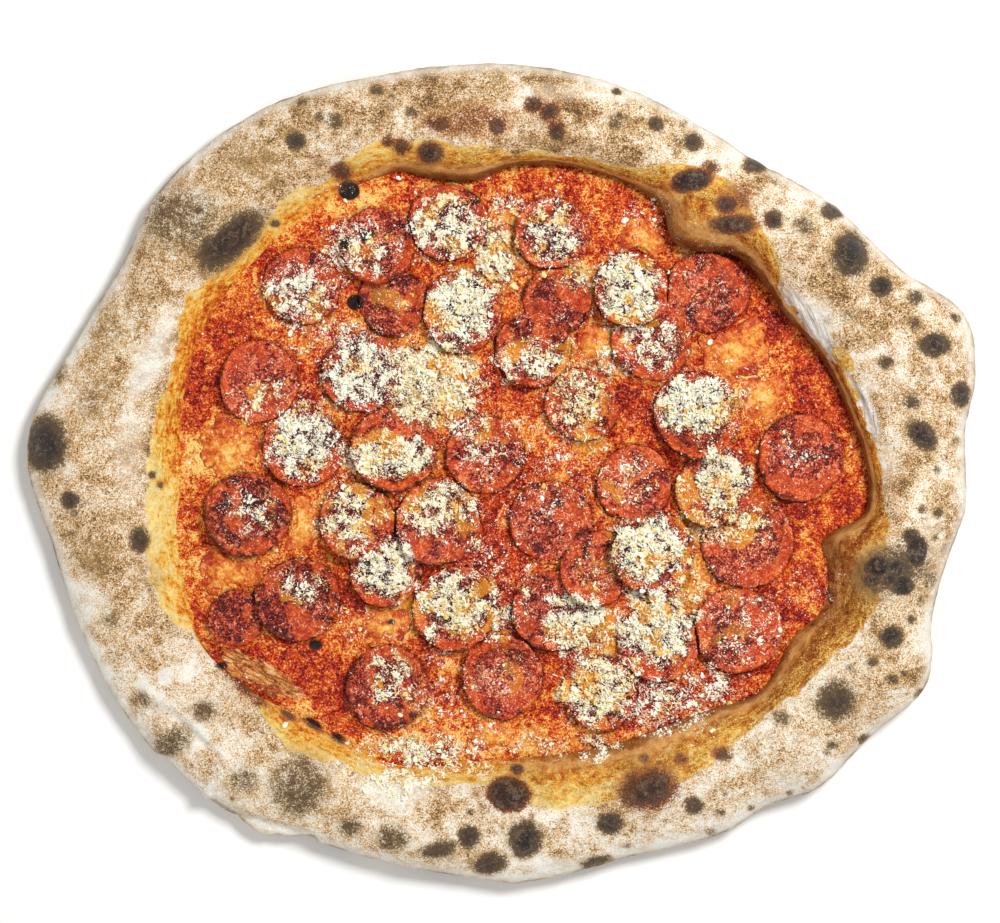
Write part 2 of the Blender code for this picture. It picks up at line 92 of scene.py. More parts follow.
# Slices, the lowest first: x, y, radius, rim lift, bearing of the highest rim, and how dark it is baked.
SLICES = [
    (76.8, 67.6, 15.2, 2.6, 50, 0.35), (21.5, 64.5, 12.5, 3.4, 160, 0.6),
    (-39.5, 64.0, 12.5, 2.0, 20, 0.6), (-42.0, -34.5, 14.0, 3.0, 230, 0.6),
    (-97.5, -53.0, 10.5, 1.6, 180, 0.7), (92.0, -25.0, 17.0, 2.6, 340, 0.35),
    (19.0, -17.0, 15.0, 1.4, 80, 0.55), (20.0, -50.5, 15.0, 2.6, 210, 0.45),
    (56.5, 50.0, 15.0, 3.4, 10, 0.45), (-45.0, 85.0, 14.0, 2.2, 300, 0.55),
    (79.0, -5.0, 14.0, 2.2, 185, 0.5), (36.5, -34.5, 13.7, 2.8, 330, 0.3),
    (-19.0, 93.5, 14.3, 2.4, 180, 0.7), (19.5, 89.5, 13.7, 3.0, 230, 0.65),
    (-73.0, 70.0, 14.3, 1.4, 180, 0.35), (-13.7, 60.3, 14.8, 3.6, 180, 0.75),
    (-89.0, 34.5, 14.8, 2.2, 160, 0.2), (-50.7, 38.0, 14.8, 2.2, 180, 0.5),
    (12.6, 46.3, 14.0, 3.4, 290, 0.65), (49.0, 68.5, 14.0, 3.4, 280, 0.5),
    (30.7, 26.0, 13.5, 3.0, 330, 0.3), (73.3, 22.2, 16.0, 4.2, 290, 0.6),
    (111.5, 6.3, 16.0, 2.6, 200, 0.45), (50.0, -3.3, 14.0, 1.6, 120, 0.3),
    (57.0, -29.0, 15.2, 3.2, 160, 0.65), (88.6, -57.6, 16.0, 2.0, 250, 0.4),
    (58.8, -62.0, 14.8, 2.6, 330, 0.45), (37.4, -80.7, 14.0, 2.2, 280, 0.45),
    (1.2, -74.7, 15.2, 3.6, 120, 0.3), (-41.5, -78.8, 15.5, 2.8, 60, 0.6),
    (-74.4, -46.2, 15.5, 2.6, 70, 0.7), (-93.2, -14.8, 15.9, 3.0, 210, 0.75),
    (-72.5, 10.0, 14.8, 1.8, 180, 0.5), (-39.2, 9.3, 15.6, 4.6, 250, 0.5),
    (-52.6, -17.4, 14.2, 2.2, 180, 0.45), (-22.6, -17.4, 15.8, 3.4, 70, 0.45),
    (-16.3, -49.6, 15.6, 3.0, 290, 0.5), (-5.2, 7.4, 14.4, 2.6, 95, 0.4),
]
STACK_DEPTH = 1.6 * MM
DRAPE_FULL = 1.35
DRAPE_END = 1.8
HELD_FULL = 1.3
HELD_END = 1.7
FLAT_SHARE = 0.58
POOLS = [
    (-100, 10.5, 11), (-23, 35.5, 13), (-0.5, 81, 10), (88, 44, 13), (97, 28.5, 9), (37.5, 47, 9),
    (-101, -37, 11), (-73.5, -18.5, 9), (-2.5, -97, 8), (42, -53.5, 8), (71, -42.5, 8), (-42, -56.5, 9),
    (53, 86, 9),
]

# Picture units: a spot's place across and down, as the pizza is seen from above.
UNIT = 0.37
MIDDLE_ACROSS = 499
MIDDLE_DOWN = 475
PICTURE_WIDTH = 1000
PICTURE_MIDDLE = (500, 461.5)

# Floor, light and camera. Each lamp is its name, place, width and strength.
FLOOR = 3.0
ROOM_LIGHT = 0.42
LAMPS = [("window", (0.5, 0.42, 1.05), 0.35, 13), ("bounce", (-0.7, -0.7, 0.9), 1.0, 4)]
CAMERA_LENS = 135
CAMERA_SENSOR = 36
TOPPING_HEIGHT = 9 * MM

# Fine form: how many points and rings a surface has, and sizes that the solids leave out.
OUTLINE_POINTS = 108
CRUST_AROUND = 1060
CRUST_SLOPE_ROWS = 38
CRUST_OUTSIDE_ROWS = 40
CRUST_TUCK_ROWS = 12
SAUCE_AROUND = 600
SAUCE_RINGS = 150
SLICE_AROUND = 104
SLICE_RINGS = 29
POOL_AROUND = 96
POOL_RINGS = 28
POOL_STEP = 0.25 * MM
POOL_STEPS = 80
BLISTER_RISE = 0.28
BLISTER_FULL = 1.2 * MM
FRECKLE_COUNT = 110
SPREAD_OF_MARK = 1.9
SAUCE_LEVEL_SHARE = 0.86
SAUCE_OVERLAP = 1.2 * MM
SHORE_DROP = 0.7 * MM
FLOURY_BAND = 7 * MM
LEAST_UP = 0.25
LEAST_GRATED = 0.004
AMOUNTS = ["Grains per square metre", "Gathering", "Smallest", "Largest", "Heap height", "Lean", "Seed"]

# Grated cheese: across, down, half width, half height in picture units, how thickly it lies, yellowness.
HEAPS = [
    (462, 305, 34, 30, 1.0, 0.2), (628, 288, 30, 34, 1.0, 0.2), (697, 405, 38, 28, 1.1, 0.1),
    (362, 372, 36, 36, 0.8, 0.0), (435, 380, 44, 42, 1.15, 0.45), (303, 440, 32, 36, 0.85, 0.0),
    (385, 455, 45, 20, 1.0, 0.3), (652, 550, 38, 32, 0.95, 0.2), (722, 480, 24, 30, 0.95, 0.3),
    (657, 625, 36, 38, 1.0, 0.2), (575, 625, 30, 30, 0.9, 0.2), (600, 690, 38, 34, 0.95, 0.4),
    (455, 605, 36, 28, 1.0, 0.4), (388, 570, 28, 28, 0.9, 0.2), (495, 255, 20, 30, 0.9, 0.5),
    (445, 225, 36, 32, 0.7, 0.1), (553, 232, 30, 32, 0.65, 0.1), (735, 525, 40, 25, 0.6, 0.7),
    (350, 515, 28, 38, 0.6, 0.4), (438, 512, 38, 25, 0.7, 0.4), (535, 362, 36, 20, 0.6, 0.3),
    (580, 400, 28, 32, 0.65, 0.6), (650, 345, 32, 30, 0.5, 0.2), (600, 360, 16, 18, 0.5, 0.4),
    (298, 295, 32, 30, 0.7, 0.1), (355, 250, 40, 30, 0.5, 0.1), (575, 275, 28, 16, 0.5, 0.5),
    (510, 205, 16, 16, 0.5, 0.3), (660, 705, 45, 28, 0.5, 0.0), (420, 748, 62, 14, 0.6, 0.2),
    (400, 780, 50, 20, 0.55, 0.0), (590, 745, 20, 12, 0.6, 0.2), (500, 625, 18, 22, 0.5, 0.2),
    (625, 480, 28, 28, 0.35, 0.5), (598, 570, 26, 26, 0.35, 0.7), (740, 625, 42, 38, 0.3, 0.2),
    (795, 450, 30, 22, 0.25, 0.0), (262, 395, 24, 20, 0.45, 0.4), (250, 512, 26, 24, 0.4, 0.1),
    (302, 588, 26, 18, 0.45, 0.2), (390, 678, 24, 24, 0.55, 0.3), (505, 680, 32, 24, 0.3, 0.4),
    (485, 450, 24, 24, 0.4, 0.3), (470, 560, 30, 22, 0.3, 0.0), (555, 500, 50, 40, 0.22, 0.0),
    (470, 425, 20, 20, 0.5, 0.2), (330, 330, 40, 20, 0.4, 0.1), (545, 440, 60, 40, 0.25, 0.1),
    (700, 290, 40, 40, 0.2, 0.1), (640, 215, 30, 18, 0.24, 0.2), (345, 620, 30, 20, 0.2, 0.1),
    (800, 590, 30, 30, 0.16, 0.0), (430, 700, 40, 25, 0.3, 0.1), (545, 745, 40, 12, 0.4, 0.3),
    (590, 444, 15, 11, 0.55, 1.0), (689, 492, 9, 20, 0.5, 1.0), (692, 588, 15, 20, 0.6, 1.0),
    (609, 632, 14, 20, 0.65, 1.0), (387, 511, 12, 12, 0.4, 1.0), (411, 608, 14, 12, 0.4, 1.0),
    (573, 401, 20, 16, 0.5, 1.0), (700, 520, 26, 10, 0.5, 1.0), (420, 400, 16, 12, 0.8, 1.0),
    (560, 352, 20, 10, 0.45, 0.9), (310, 340, 16, 14, 0.35, 0.9), (500, 280, 14, 12, 0.5, 0.9),
    (390, 300, 20, 12, 0.35, 0.9), (660, 655, 14, 12, 0.5, 0.8),
]
LONE_CRUMBS = [
    (625, 220, 7), (710, 342, 6), (290, 333, 6), (285, 725, 7), (780, 630, 5), (565, 632, 7),
    (575, 690, 8), (400, 715, 5), (415, 760, 6), (468, 752, 5), (612, 708, 5), (345, 200, 4),
    (757, 452, 4), (540, 205, 4),
]

# Burnt and toasted marks: across, down, half width, half height, turn in degrees, darkness, blistering.
MARKS = [
    (48, 445, 20, 26, 0, 1.0, 0.5), (72, 500, 9, 9, 0, 0.8, 0.4), (73, 534, 5, 5, 0, 0.4, 0.2),
    (140, 540, 9, 12, 0, 0.8, 0.2), (152, 475, 4, 4, 0, 0.6, 0.0), (160, 485, 4, 4, 0, 0.6, 0.0),
    (232, 240, 15, 38, -48, 0.95, 0.15), (215, 252, 18, 22, -40, 0.7, 0.0), (201, 212, 7, 7, 0, 0.6, 0.0),
    (185, 222, 48, 36, -20, 0.42, 0.0), (170, 210, 30, 30, 0, 0.3, 0.0), (297, 143, 10, 9, 0, 0.8, 0.4),
    (336, 124, 9, 9, 0, 0.55, 0.2), (321, 120, 6, 6, 0, 0.5, 0.2), (303, 103, 7, 6, 0, 0.45, 0.2),
    (378, 92, 8, 7, 0, 0.5, 0.2), (413, 115, 8, 7, 0, 0.5, 0.2), (389, 143, 7, 6, 0, 0.65, 0.3),
    (403, 149, 9, 8, 0, 0.75, 0.4), (341, 172, 11, 9, 0, 0.7, 0.5), (349, 190, 11, 10, 0, 1.0, 1.0),
    (275, 223, 5, 4, 0, 0.7, 0.4), (349, 244, 9, 8, 0, 1.0, 0.7), (367, 236, 9, 7, 0, 0.95, 0.5),
    (355, 302, 9, 8, 0, 1.0, 1.0), (431, 155, 12, 10, 0, 0.95, 0.6), (470, 124, 42, 17, 5, 0.42, 0.1),
    (440, 127, 16, 9, 0, 0.6, 0.2), (497, 129, 10, 9, 0, 0.75, 0.3), (533, 109, 9, 8, 0, 0.8, 0.3),
    (548, 116, 11, 9, 30, 0.8, 0.3), (556, 134, 9, 10, 0, 0.75, 0.3), (616, 93, 5, 4, 0, 0.7, 0.3),
    (617, 124, 12, 10, 0, 0.5, 0.1), (655, 127, 8, 8, 0, 0.7, 0.3), (691, 144, 10, 9, 0, 0.75, 0.3),
    (709, 170, 9, 7, 0, 0.6, 0.2), (755, 165, 13, 9, 15, 0.9, 0.4), (690, 183, 20, 11, 12, 1.0, 0.9),
    (736, 200, 15, 14, 0, 0.42, 0.7), (724, 208, 10, 9, 0, 0.85, 0.5), (732, 227, 22, 9, 0, 0.9, 0.7),
    (770, 222, 9, 9, 0, 0.85, 0.3), (801, 228, 13, 11, 0, 0.45, 0.1), (832, 211, 14, 9, 25, 0.9, 0.4),
    (847, 257, 17, 21, 0, 1.0, 0.6), (877, 288, 11, 10, 0, 0.95, 0.4), (912, 299, 9, 8, 0, 0.6, 0.2),
    (910, 324, 8, 8, 0, 0.5, 0.1), (930, 346, 15, 11, 0, 1.0, 0.6), (952, 319, 6, 5, 0, 0.6, 0.2),
    (847, 316, 10, 9, 0, 0.35, 0.0), (882, 363, 9, 7, 0, 0.6, 0.2), (957, 395, 10, 11, 0, 1.0, 0.5),
    (908, 402, 9, 8, 0, 0.6, 0.2), (918, 435, 11, 17, 45, 0.95, 0.5), (934, 470, 5, 5, 0, 0.5, 0.1),
    (919, 509, 5, 5, 0, 0.5, 0.2), (935, 512, 6, 6, 0, 0.55, 0.2), (890, 568, 36, 26, 20, 0.6, 0.2),
    (873, 565, 12, 10, 0, 1.0, 1.0), (891, 567, 9, 8, 0, 1.0, 0.9), (912, 550, 11, 16, 0, 1.0, 1.0),
    (898, 584, 11, 10, 0, 1.0, 0.9), (868, 579, 8, 6, 0, 1.0, 0.8), (885, 578, 7, 6, 0, 1.0, 0.8),
    (906, 535, 8, 8, 0, 0.9, 0.5), (925, 578, 10, 10, 0, 0.45, 0.1), (887, 635, 11, 11, 0, 0.95, 0.5),
    (907, 618, 6, 5, 0, 0.6, 0.2), (868, 660, 7, 6, 0, 0.5, 0.2), (888, 677, 7, 6, 0, 0.6, 0.2),
    (900, 671, 5, 4, 0, 0.5, 0.1), (919, 694, 7, 6, 0, 0.6, 0.2), (833, 699, 20, 20, 0, 0.74, 0.3),
    (779, 716, 9, 8, 0, 0.5, 0.1), (862, 738, 7, 6, 0, 0.5, 0.1), (830, 743, 7, 6, 0, 0.5, 0.1),
    (721, 752, 10, 8, 0, 0.6, 0.2), (680, 757, 7, 6, 0, 0.6, 0.3), (643, 757, 6, 5, 0, 0.5, 0.2),
    (648, 786, 28, 19, 10, 0.85, 0.5), (692, 803, 10, 9, 0, 0.75, 0.3), (609, 821, 13, 11, 0, 0.9, 0.4),
    (604, 860, 10, 7, 0, 0.5, 0.1), (718, 811, 6, 5, 0, 0.5, 0.1), (710, 830, 6, 5, 0, 0.4, 0.1),
    (626, 844, 5, 4, 0, 0.4, 0.1), (750, 807, 5, 4, 0, 0.4, 0.1), (509, 793, 21, 16, 0, 1.0, 1.0),
    (517, 769, 6, 5, 0, 0.8, 0.5), (469, 834, 10, 11, 0, 0.9, 0.4), (525, 836, 15, 17, 0, 1.0, 0.5),
    (490, 862, 16, 11, 15, 0.8, 0.2), (596, 862, 15, 7, 0, 0.7, 0.2), (439, 847, 19, 9, 15, 0.65, 0.2),
    (393, 836, 17, 15, 0, 0.5, 0.1), (350, 825, 13, 10, 0, 0.5, 0.1), (471, 810, 4, 4, 0, 0.5, 0.2),
    (300, 785, 30, 32, 0, 0.5, 0.0), (244, 779, 18, 14, 0, 0.4, 0.0), (313, 724, 13, 5, -35, 0.75, 0.3),
    (338, 738, 11, 5, -30, 0.7, 0.3), (288, 716, 9, 4, -35, 0.6, 0.2), (205, 710, 14, 12, 0, 0.45, 0.1),
    (173, 741, 22, 14, 30, 0.5, 0.1), (142, 699, 12, 10, 0, 0.4, 0.1), (112, 618, 12, 12, 0, 0.35, 0.1),
    (142, 649, 6, 5, 0, 0.4, 0.1), (222, 666, 7, 5, 0, 0.8, 0.3), (243, 687, 33, 7, -43, 0.52, 0.1),
    (315, 645, 8, 6, 0, 0.9, 0.2), (390, 622, 7, 4, 0, 0.7, 0.1), (95, 400, 22, 30, -25, 0.28, 0.0),
    (110, 330, 22, 34, -25, 0.25, 0.0), (95, 560, 20, 26, 0, 0.22, 0.0), (60, 375, 8, 14, -20, 0.4, 0.0),
    (255, 165, 30, 22, -30, 0.25, 0.0), (150, 580, 16, 20, 0, 0.25, 0.0),
]

# How far from the middle the oil soaked into the rim: bearing, millimetres.
OIL_EDGE = [
    (0, 141), (10, 136), (20, 129.5), (28, 124.4), (33, 124.4), (38, 129), (46, 134), (53, 137), (59, 133),
    (66, 123), (75, 121), (85, 119), (95, 121), (103, 126), (112, 130), (120, 127), (130, 129), (140, 126),
    (150, 132), (160, 128), (170, 129), (180, 130), (190, 133), (200, 134), (210, 127), (220, 121),
    (230, 127), (240, 123), (250, 120), (260, 117), (270, 115), (280, 125), (290, 127), (300, 132),
    (310, 131), (320, 134), (330, 139), (340, 146), (350, 144),
]

# How browned the rim and its inner wall are by bearing, from 0 to 1.
BROWNING = [
    (0, 0.8), (30, 0.7), (50, 0.8), (75, 0.7), (100, 0.6), (125, 0.35), (150, 0.15), (190, 0.1),
    (225, 0.3), (250, 0.45), (275, 0.6), (310, 0.85), (335, 0.95),
]

# How tanned, rather than pale, the dough is by bearing.
TANNED = [
    (0, 0.5), (30, 0.5), (55, 0.6), (75, 0.85), (100, 0.85), (125, 0.5), (145, 0.6), (165, 0.45),
    (190, 0.35), (215, 0.0), (235, 0.1), (255, 0.15), (280, -0.15), (310, -0.15), (335, 0.3),
]

# How golden, rather than red, the oily inner slope is by bearing.
GOLDEN = [
    (0, 0.2), (30, 0.35), (60, 0.6), (100, 0.75), (130, 0.85), (155, 0.35), (168, 0.3), (182, 1.2),
    (205, 0.95), (225, 0.75), (245, 1.1), (260, 1.0), (290, 0.95), (320, 0.6), (342, 0.4),
]

# Melted cheese (above 0) and redder sauce (below 0): across, down, half width, half height, strength.
MELTED = [
    (330, 195, 75, 24, 0.75), (232, 275, 22, 34, 0.65), (575, 280, 42, 26, 0.8), (508, 245, 26, 34, 0.8),
    (640, 235, 34, 22, 0.5), (600, 362, 26, 26, 0.8), (390, 325, 34, 26, 0.6), (745, 385, 50, 54, 0.6),
    (222, 445, 44, 30, 0.8), (240, 570, 50, 24, 0.7), (305, 525, 22, 30, 0.6), (400, 622, 44, 20, 0.7),
    (612, 640, 28, 26, 0.8), (440, 722, 70, 24, 0.55), (545, 738, 60, 18, 0.8), (430, 385, 44, 40, 0.8),
    (560, 175, 60, 18, 0.4), (700, 500, 20, 40, 0.6), (330, 430, 16, 40, 0.4), (385, 745, 70, 14, 0.7),
    (250, 330, 30, 24, 0.4), (205, 470, 20, 40, 0.5), (290, 620, 60, 14, 0.5), (360, 650, 40, 16, 0.5),
    (470, 345, 40, 20, 0.5), (330, 470, 40, 20, 0.5), (560, 430, 40, 30, 0.4), (700, 560, 20, 40, 0.5),
    (512, 490, 32, 24, -0.45), (600, 330, 20, 16, 0.5), (680, 340, 20, 30, 0.5), (360, 540, 30, 40, 0.4),
    (825, 385, 30, 60, -0.6), (852, 520, 24, 26, -0.7), (205, 385, 22, 44, -0.6), (320, 672, 50, 22, -0.4),
    (500, 575, 40, 36, -0.3), (440, 662, 40, 22, 0.35), (640, 190, 40, 24, -0.5), (400, 190, 20, 12, -0.4),
    (780, 320, 20, 30, -0.4), (240, 335, 26, 22, -0.5), (690, 700, 60, 20, -0.3), (350, 225, 30, 12, -0.3),
    (820, 600, 16, 40, -0.3),
]

# Creases where the rim was folded, each through places in picture units, with width and depth in mm.
CREASES = [
    ([(175, 714), (197, 736), (217, 752), (222, 770), (213, 790)], 1.6, 1.4),
    ([(160, 760), (190, 790), (235, 815), (275, 826), (312, 838)], 2.0, 1.8),
    ([(195, 640), (225, 662), (258, 682), (292, 690)], 1.6, 1.6),
    ([(786, 300), (803, 322), (818, 345), (832, 366)], 1.0, 0.5),
    ([(795, 298), (814, 318), (830, 342)], 0.8, 0.4),
    ([(848, 380), (858, 400), (866, 425)], 0.9, 0.45),
]

# Folds of dough that stand up from the rim, given like the creases, with width and height in mm.
RIDGES = [
    ([(150, 692), (176, 706), (202, 728), (220, 752), (221, 774), (206, 796)], 2.2, 2.2),
    ([(196, 630), (216, 640), (246, 652), (276, 670), (298, 692)], 2.6, 2.0),
    ([(212, 656), (232, 672), (262, 690), (292, 708)], 2.4, 1.6),
    ([(200, 800), (232, 822), (268, 834)], 1.6, 1.4),
    ([(782, 306), (799, 330), (815, 354), (828, 376)], 0.8, 0.8),
    ([(789, 300), (806, 324), (822, 347)], 0.7, 0.7),
    ([(797, 297), (814, 320), (832, 346)], 0.7, 0.7),
    ([(846, 384), (856, 404), (866, 430)], 0.8, 0.8),
    ([(854, 380), (866, 402), (874, 426)], 0.7, 0.7),
]

# Where oil ran over the rim's edge: across, down, half width, half height, turn.
SPLASHES = [(841, 360, 7, 15, 40), (834, 374, 7, 9, -20), (872, 502, 8, 12, 0)]

# Pale strips of the inner wall, finely wrinkled: across, down, half width, half height, turn.
WRINKLED = [
    (808, 330, 46, 14, -56), (862, 410, 30, 9, -64), (797, 312, 16, 8, -50),
]

# Where fine cheese dust lies thickest away from the heaps: across, down, half width, half height, strength.
DUSTY = [
    (440, 665, 50, 26, 0.2), (500, 590, 44, 40, 0.3), (735, 400, 40, 50, 0.2), (520, 500, 70, 60, 0.12),
    (500, 570, 60, 50, 0.19), (700, 695, 60, 30, 0.42), (640, 350, 60, 40, 0.16), (440, 400, 70, 60, 0.18),
    (420, 640, 70, 40, 0.12), (360, 250, 60, 40, 0.13), (790, 440, 40, 40, 0.09), (740, 560, 60, 60, 0.13),
    (470, 740, 90, 20, 0.22), (560, 300, 80, 60, 0.11), (760, 620, 50, 40, 0.11), (300, 350, 60, 40, 0.12),
    (800, 590, 30, 40, 0.04),
]

# Cheese that fell on the rim's inner slope: across, down, half width, half height, thickness, yellowness.
SPILLED = [
    (400, 782, 52, 16, 0.75, 0.1), (455, 768, 40, 10, 0.5, 0.6), (350, 772, 20, 10, 0.3, 0.2),
    (600, 748, 24, 9, 0.45, 0.2), (335, 190, 30, 8, 0.1, 0.2), (690, 728, 26, 8, 0.3, 0.1),
]

# Where scorching is reddish brown rather than grey: across, down, half width, half height, turn.
RUDDY = [
    (648, 786, 36, 28, 0), (470, 124, 54, 24, 0), (692, 184, 34, 22, 0), (735, 210, 32, 34, 0),
    (343, 182, 24, 20, 0), (396, 150, 30, 14, 0), (431, 155, 18, 13, 0), (545, 120, 36, 20, 0),
    (316, 728, 40, 14, -30), (243, 687, 40, 10, -43), (509, 793, 34, 26, 0), (600, 745, 60, 14, 0),
    (700, 745, 50, 20, 30),
]

# Torn flaps of puffed cheese on the sauce's edge: across, down, half width, half height, turn.
FLAPS = [(260, 675, 44, 13, -27)]

# Floury places on the rim: across, down, half width, half height, turn, strength.
FLOUR = [
    (808, 332, 22, 42, -30, 1.0), (856, 405, 12, 34, -20, 0.9), (150, 360, 18, 60, -25, 0.8),
    (75, 610, 30, 40, 20, 0.7), (130, 450, 22, 60, 0, 0.6), (167, 676, 10, 12, 0, 1.0),
    (144, 687, 9, 10, 0, 1.0), (600, 870, 120, 14, -8, 0.8), (420, 868, 90, 12, 10, 0.5),
    (880, 470, 26, 40, 0, 0.5), (930, 560, 22, 60, 10, 0.6), (560, 95, 60, 14, 0, 0.6),
    (800, 790, 60, 20, -30, 0.6), (195, 735, 18, 20, 0, 0.7), (225, 800, 50, 26, -35, 0.6),
    (400, 790, 45, 18, 0, 0.8), (250, 850, 60, 16, 20, 0.7), (760, 200, 30, 12, 30, 0.4),
]


def spot(across, down):
    """A place in picture units, in metres from the pizza's own middle."""
    return (across - MIDDLE_ACROSS) * UNIT * MM, (MIDDLE_DOWN - down) * UNIT * MM


def closed_curve(points, unit=MM):
    """Returns value(degrees), a smooth closed curve through (bearing, value) points."""
    before = [(bearing - 360, value) for bearing, value in points[-2:]]
    after = [(bearing + 360, value) for bearing, value in points[:2]]
    knots = np.array(before + points + after, float)
    slopes = (knots[2:, 1] - knots[:-2, 1]) / (knots[2:, 0] - knots[:-2, 0])

    def value(degrees):
        degrees = np.asarray(degrees, float) % 360
        k = np.searchsorted(knots[1:-1, 0], degrees, side="right")
        k = np.clip(k, 1, len(knots) - 3)
        step = knots[k + 1, 0] - knots[k, 0]
        t = (degrees - knots[k, 0]) / step
        rise = t * t * (3 - 2 * t)
        bend = t * (1 - t) * ((1 - t) * slopes[k - 1] - t * slopes[k]) * step
        return (knots[k, 1] + (knots[k + 1, 1] - knots[k, 1]) * rise + bend) * unit

    return value


outer_edge = closed_curve(OUTER_EDGE)
inner_foot = closed_curve(INNER_FOOT)
crest_height = closed_curve(CREST_HEIGHT)
oil_edge = closed_curve(OIL_EDGE)
brownness = closed_curve(BROWNING, 1)
goldness = closed_curve(GOLDEN, 1)
tannedness = closed_curve(TANNED, 1)
wall_steepness = closed_curve(WALL_STEEPNESS, 1)


def smooth(t):
    """Rises from 0 to 1 with flat ends as t goes from 0 to 1."""
    t = np.clip(t, 0.0, 1.0)
    return t * t * (3 - 2 * t)


def blend(a, b, share):
    return a + (b - a) * share


def over_plan(x, y, size, height):
    """height(across, back) at every place of a plan, measured in features of this size."""
    places = zip((np.ravel(x) / size).tolist(), (np.ravel(y) / size).tolist())
    return np.array([height(across, back) for across, back in places]).reshape(np.shape(x))


def ripple(x, y, size, octaves, layer):
    """Smooth random heights of about -1 to 1 over a plan, with features of this size in metres."""
    return over_plan(x, y, size, lambda across, back: noise.fractal((across, back, layer), 1.0, 2.0, octaves))


def plain_ripple(x, y, size):
    """The plain ripple that the solid rim has too."""
    return over_plan(x, y, size, lambda across, back: noise.noise((across, back, 0)))


def warped(x, y, amount, size, layer):
    """Places moved about at random, which makes ragged edges of what is laid out there."""
    return x + amount * ripple(x, y, size, 3, layer), y + amount * ripple(x, y, size, 3, layer + 5)


def bearing_of(x, y):
    return np.degrees(np.arctan2(y, x))


def outline_middle():
    """Middle of the outline's box, which the solids are centred on."""
    bearings = np.arange(OUTLINE_POINTS) * 2 * math.pi / OUTLINE_POINTS
    reach = outer_edge(np.degrees(bearings))
    x, y = reach * np.cos(bearings), reach * np.sin(bearings)
    return (x.min() + x.max()) / 2, (y.min() + y.max()) / 2


SHIFT_X, SHIFT_Y = outline_middle()


def swell(x, y):
    total = np.zeros(np.shape(x))
    for centre_x, centre_y, radius, height in BULGES:
        away = np.hypot(x / MM - centre_x, y / MM - centre_y) / radius
        total += height * MM * np.exp(-away * away * 1.5)
    return total


def sauce_top(x, y):
    reach = np.hypot(x, y) / inner_foot(bearing_of(x, y))
    wave = SAUCE_WAVE * (np.sin(x / (7 * MM) + 1) + np.cos(y / (8 * MM)))
    climb = smooth((reach - SAUCE_LEVEL_SHARE) / (1 - SAUCE_LEVEL_SHARE))
    return blend(SAUCE_HEIGHT + wave * 0.5, SAUCE_EDGE_HEIGHT, climb)


def oval(x, y, across, down, half_width, half_height, turn=0.0):
    """How far out a place is from an oval's middle: 1 on its edge."""
    middle_x, middle_y = spot(across, down)
    c, s = math.cos(math.radians(turn)), math.sin(math.radians(turn))
    along = ((x - middle_x) * c + (y - middle_y) * s) / (half_width * UNIT * MM)
    aside = ((y - middle_y) * c - (x - middle_x) * s) / (half_height * UNIT * MM)
    return np.hypot(along, aside)


def mound(x, y):
    highest = np.zeros(np.shape(x))
    for across, down, half_width, half_height, amount, _ in HEAPS:
        away = oval(x, y, across, down, half_width, half_height)
        highest = np.maximum(highest, MOUND_HEIGHT * min(amount, 1) * smooth(1.2 - away))
    return highest


def heaped(x, y):
    """How thickly grated cheese lies at a place, and how yellow it is."""
    thick, yellow = np.zeros(np.shape(x)), np.zeros(np.shape(x))
    x, y = warped(x, y, 4.6 * MM, 8 * MM, 50.0)
    for across, down, half_width, half_height, amount, tint in HEAPS + SPILLED:
        share = amount * smooth(1.5 - oval(x, y, across, down, half_width, half_height))
        yellow = np.where(share > thick, tint, yellow)
        thick = np.maximum(thick, share)
    yellow = np.clip(yellow + 0.7 * smooth((ripple(x, y, 9 * MM, 2, 80.0) - 0.12) / 0.2), 0, 1)
    return thick, yellow


def place(index):
    x, y, radius = SLICES[index][:3]
    return x * MM, y * MM, radius * MM


def spacing(first, second):
    ax, ay, a_radius = place(first)
    bx, by, b_radius = place(second)
    distance = math.hypot(bx - ax, by - ay)
    return distance, a_radius + b_radius - distance


COUNT = len(SLICES)
HALF = COUNT // 2
BELOW = [[o for o in range(i) if spacing(i, o)[1] > STACK_DEPTH] for i in range(COUNT)]
ABOVE = [[o for o in range(i + 1, COUNT) if spacing(i, o)[1] > STACK_DEPTH] for i in range(COUNT)]
BESIDE = [
    [o for o in range(COUNT) if o != i and -GAP * 6 < spacing(i, o)[1] <= STACK_DEPTH] for i in range(COUNT)
]


def slice_edge(index, bearing):
    """A slice's radius along a bearing in radians: nearly round, and cut back beside a neighbour."""
    x, y, radius = place(index)
    edge = radius * (1 + 0.022 * np.cos(2 * bearing + index) + 0.014 * np.cos(3 * bearing + 2 * index))
    for other in BESIDE[index]:
        other_x, other_y, other_radius = place(other)
        distance = spacing(index, other)[0]
        meeting = (distance**2 + radius**2 - other_radius**2) / (2 * distance) - GAP
        facing = np.cos(bearing - math.atan2(other_y - y, other_x - x))
        edge = np.where(facing > 0.2, np.minimum(edge, meeting / np.maximum(facing, 0.2)), edge)
    return edge


def share_out(index, x, y):
    """How far out a place is on a slice: 0 at its middle and 1 at its edge."""
    centre_x, centre_y, _ = place(index)
    return np.hypot(x - centre_x, y - centre_y) / slice_edge(index, np.arctan2(y - centre_y, x - centre_x))


def held_down(index, x, y):
    held = np.zeros(np.shape(x))
    for other in ABOVE[index]:
        held = np.maximum(held, smooth((HELD_END - share_out(other, x, y)) / (HELD_END - HELD_FULL)))
    return held


def rim_lift(index, x, y):
    centre_x, centre_y, _ = place(index)
    lift, heading = SLICES[index][3] * MM, math.radians(SLICES[index][4])
    bearing = np.arctan2(y - centre_y, x - centre_x)
    turn = 0.4 + 0.6 * (0.5 + 0.5 * np.cos(bearing - heading))
    curl = smooth((np.minimum(1.0, share_out(index, x, y)) - FLAT_SHARE) / (1 - FLAT_SHARE))
    return lift * turn * curl * (1 - held_down(index, x, y))


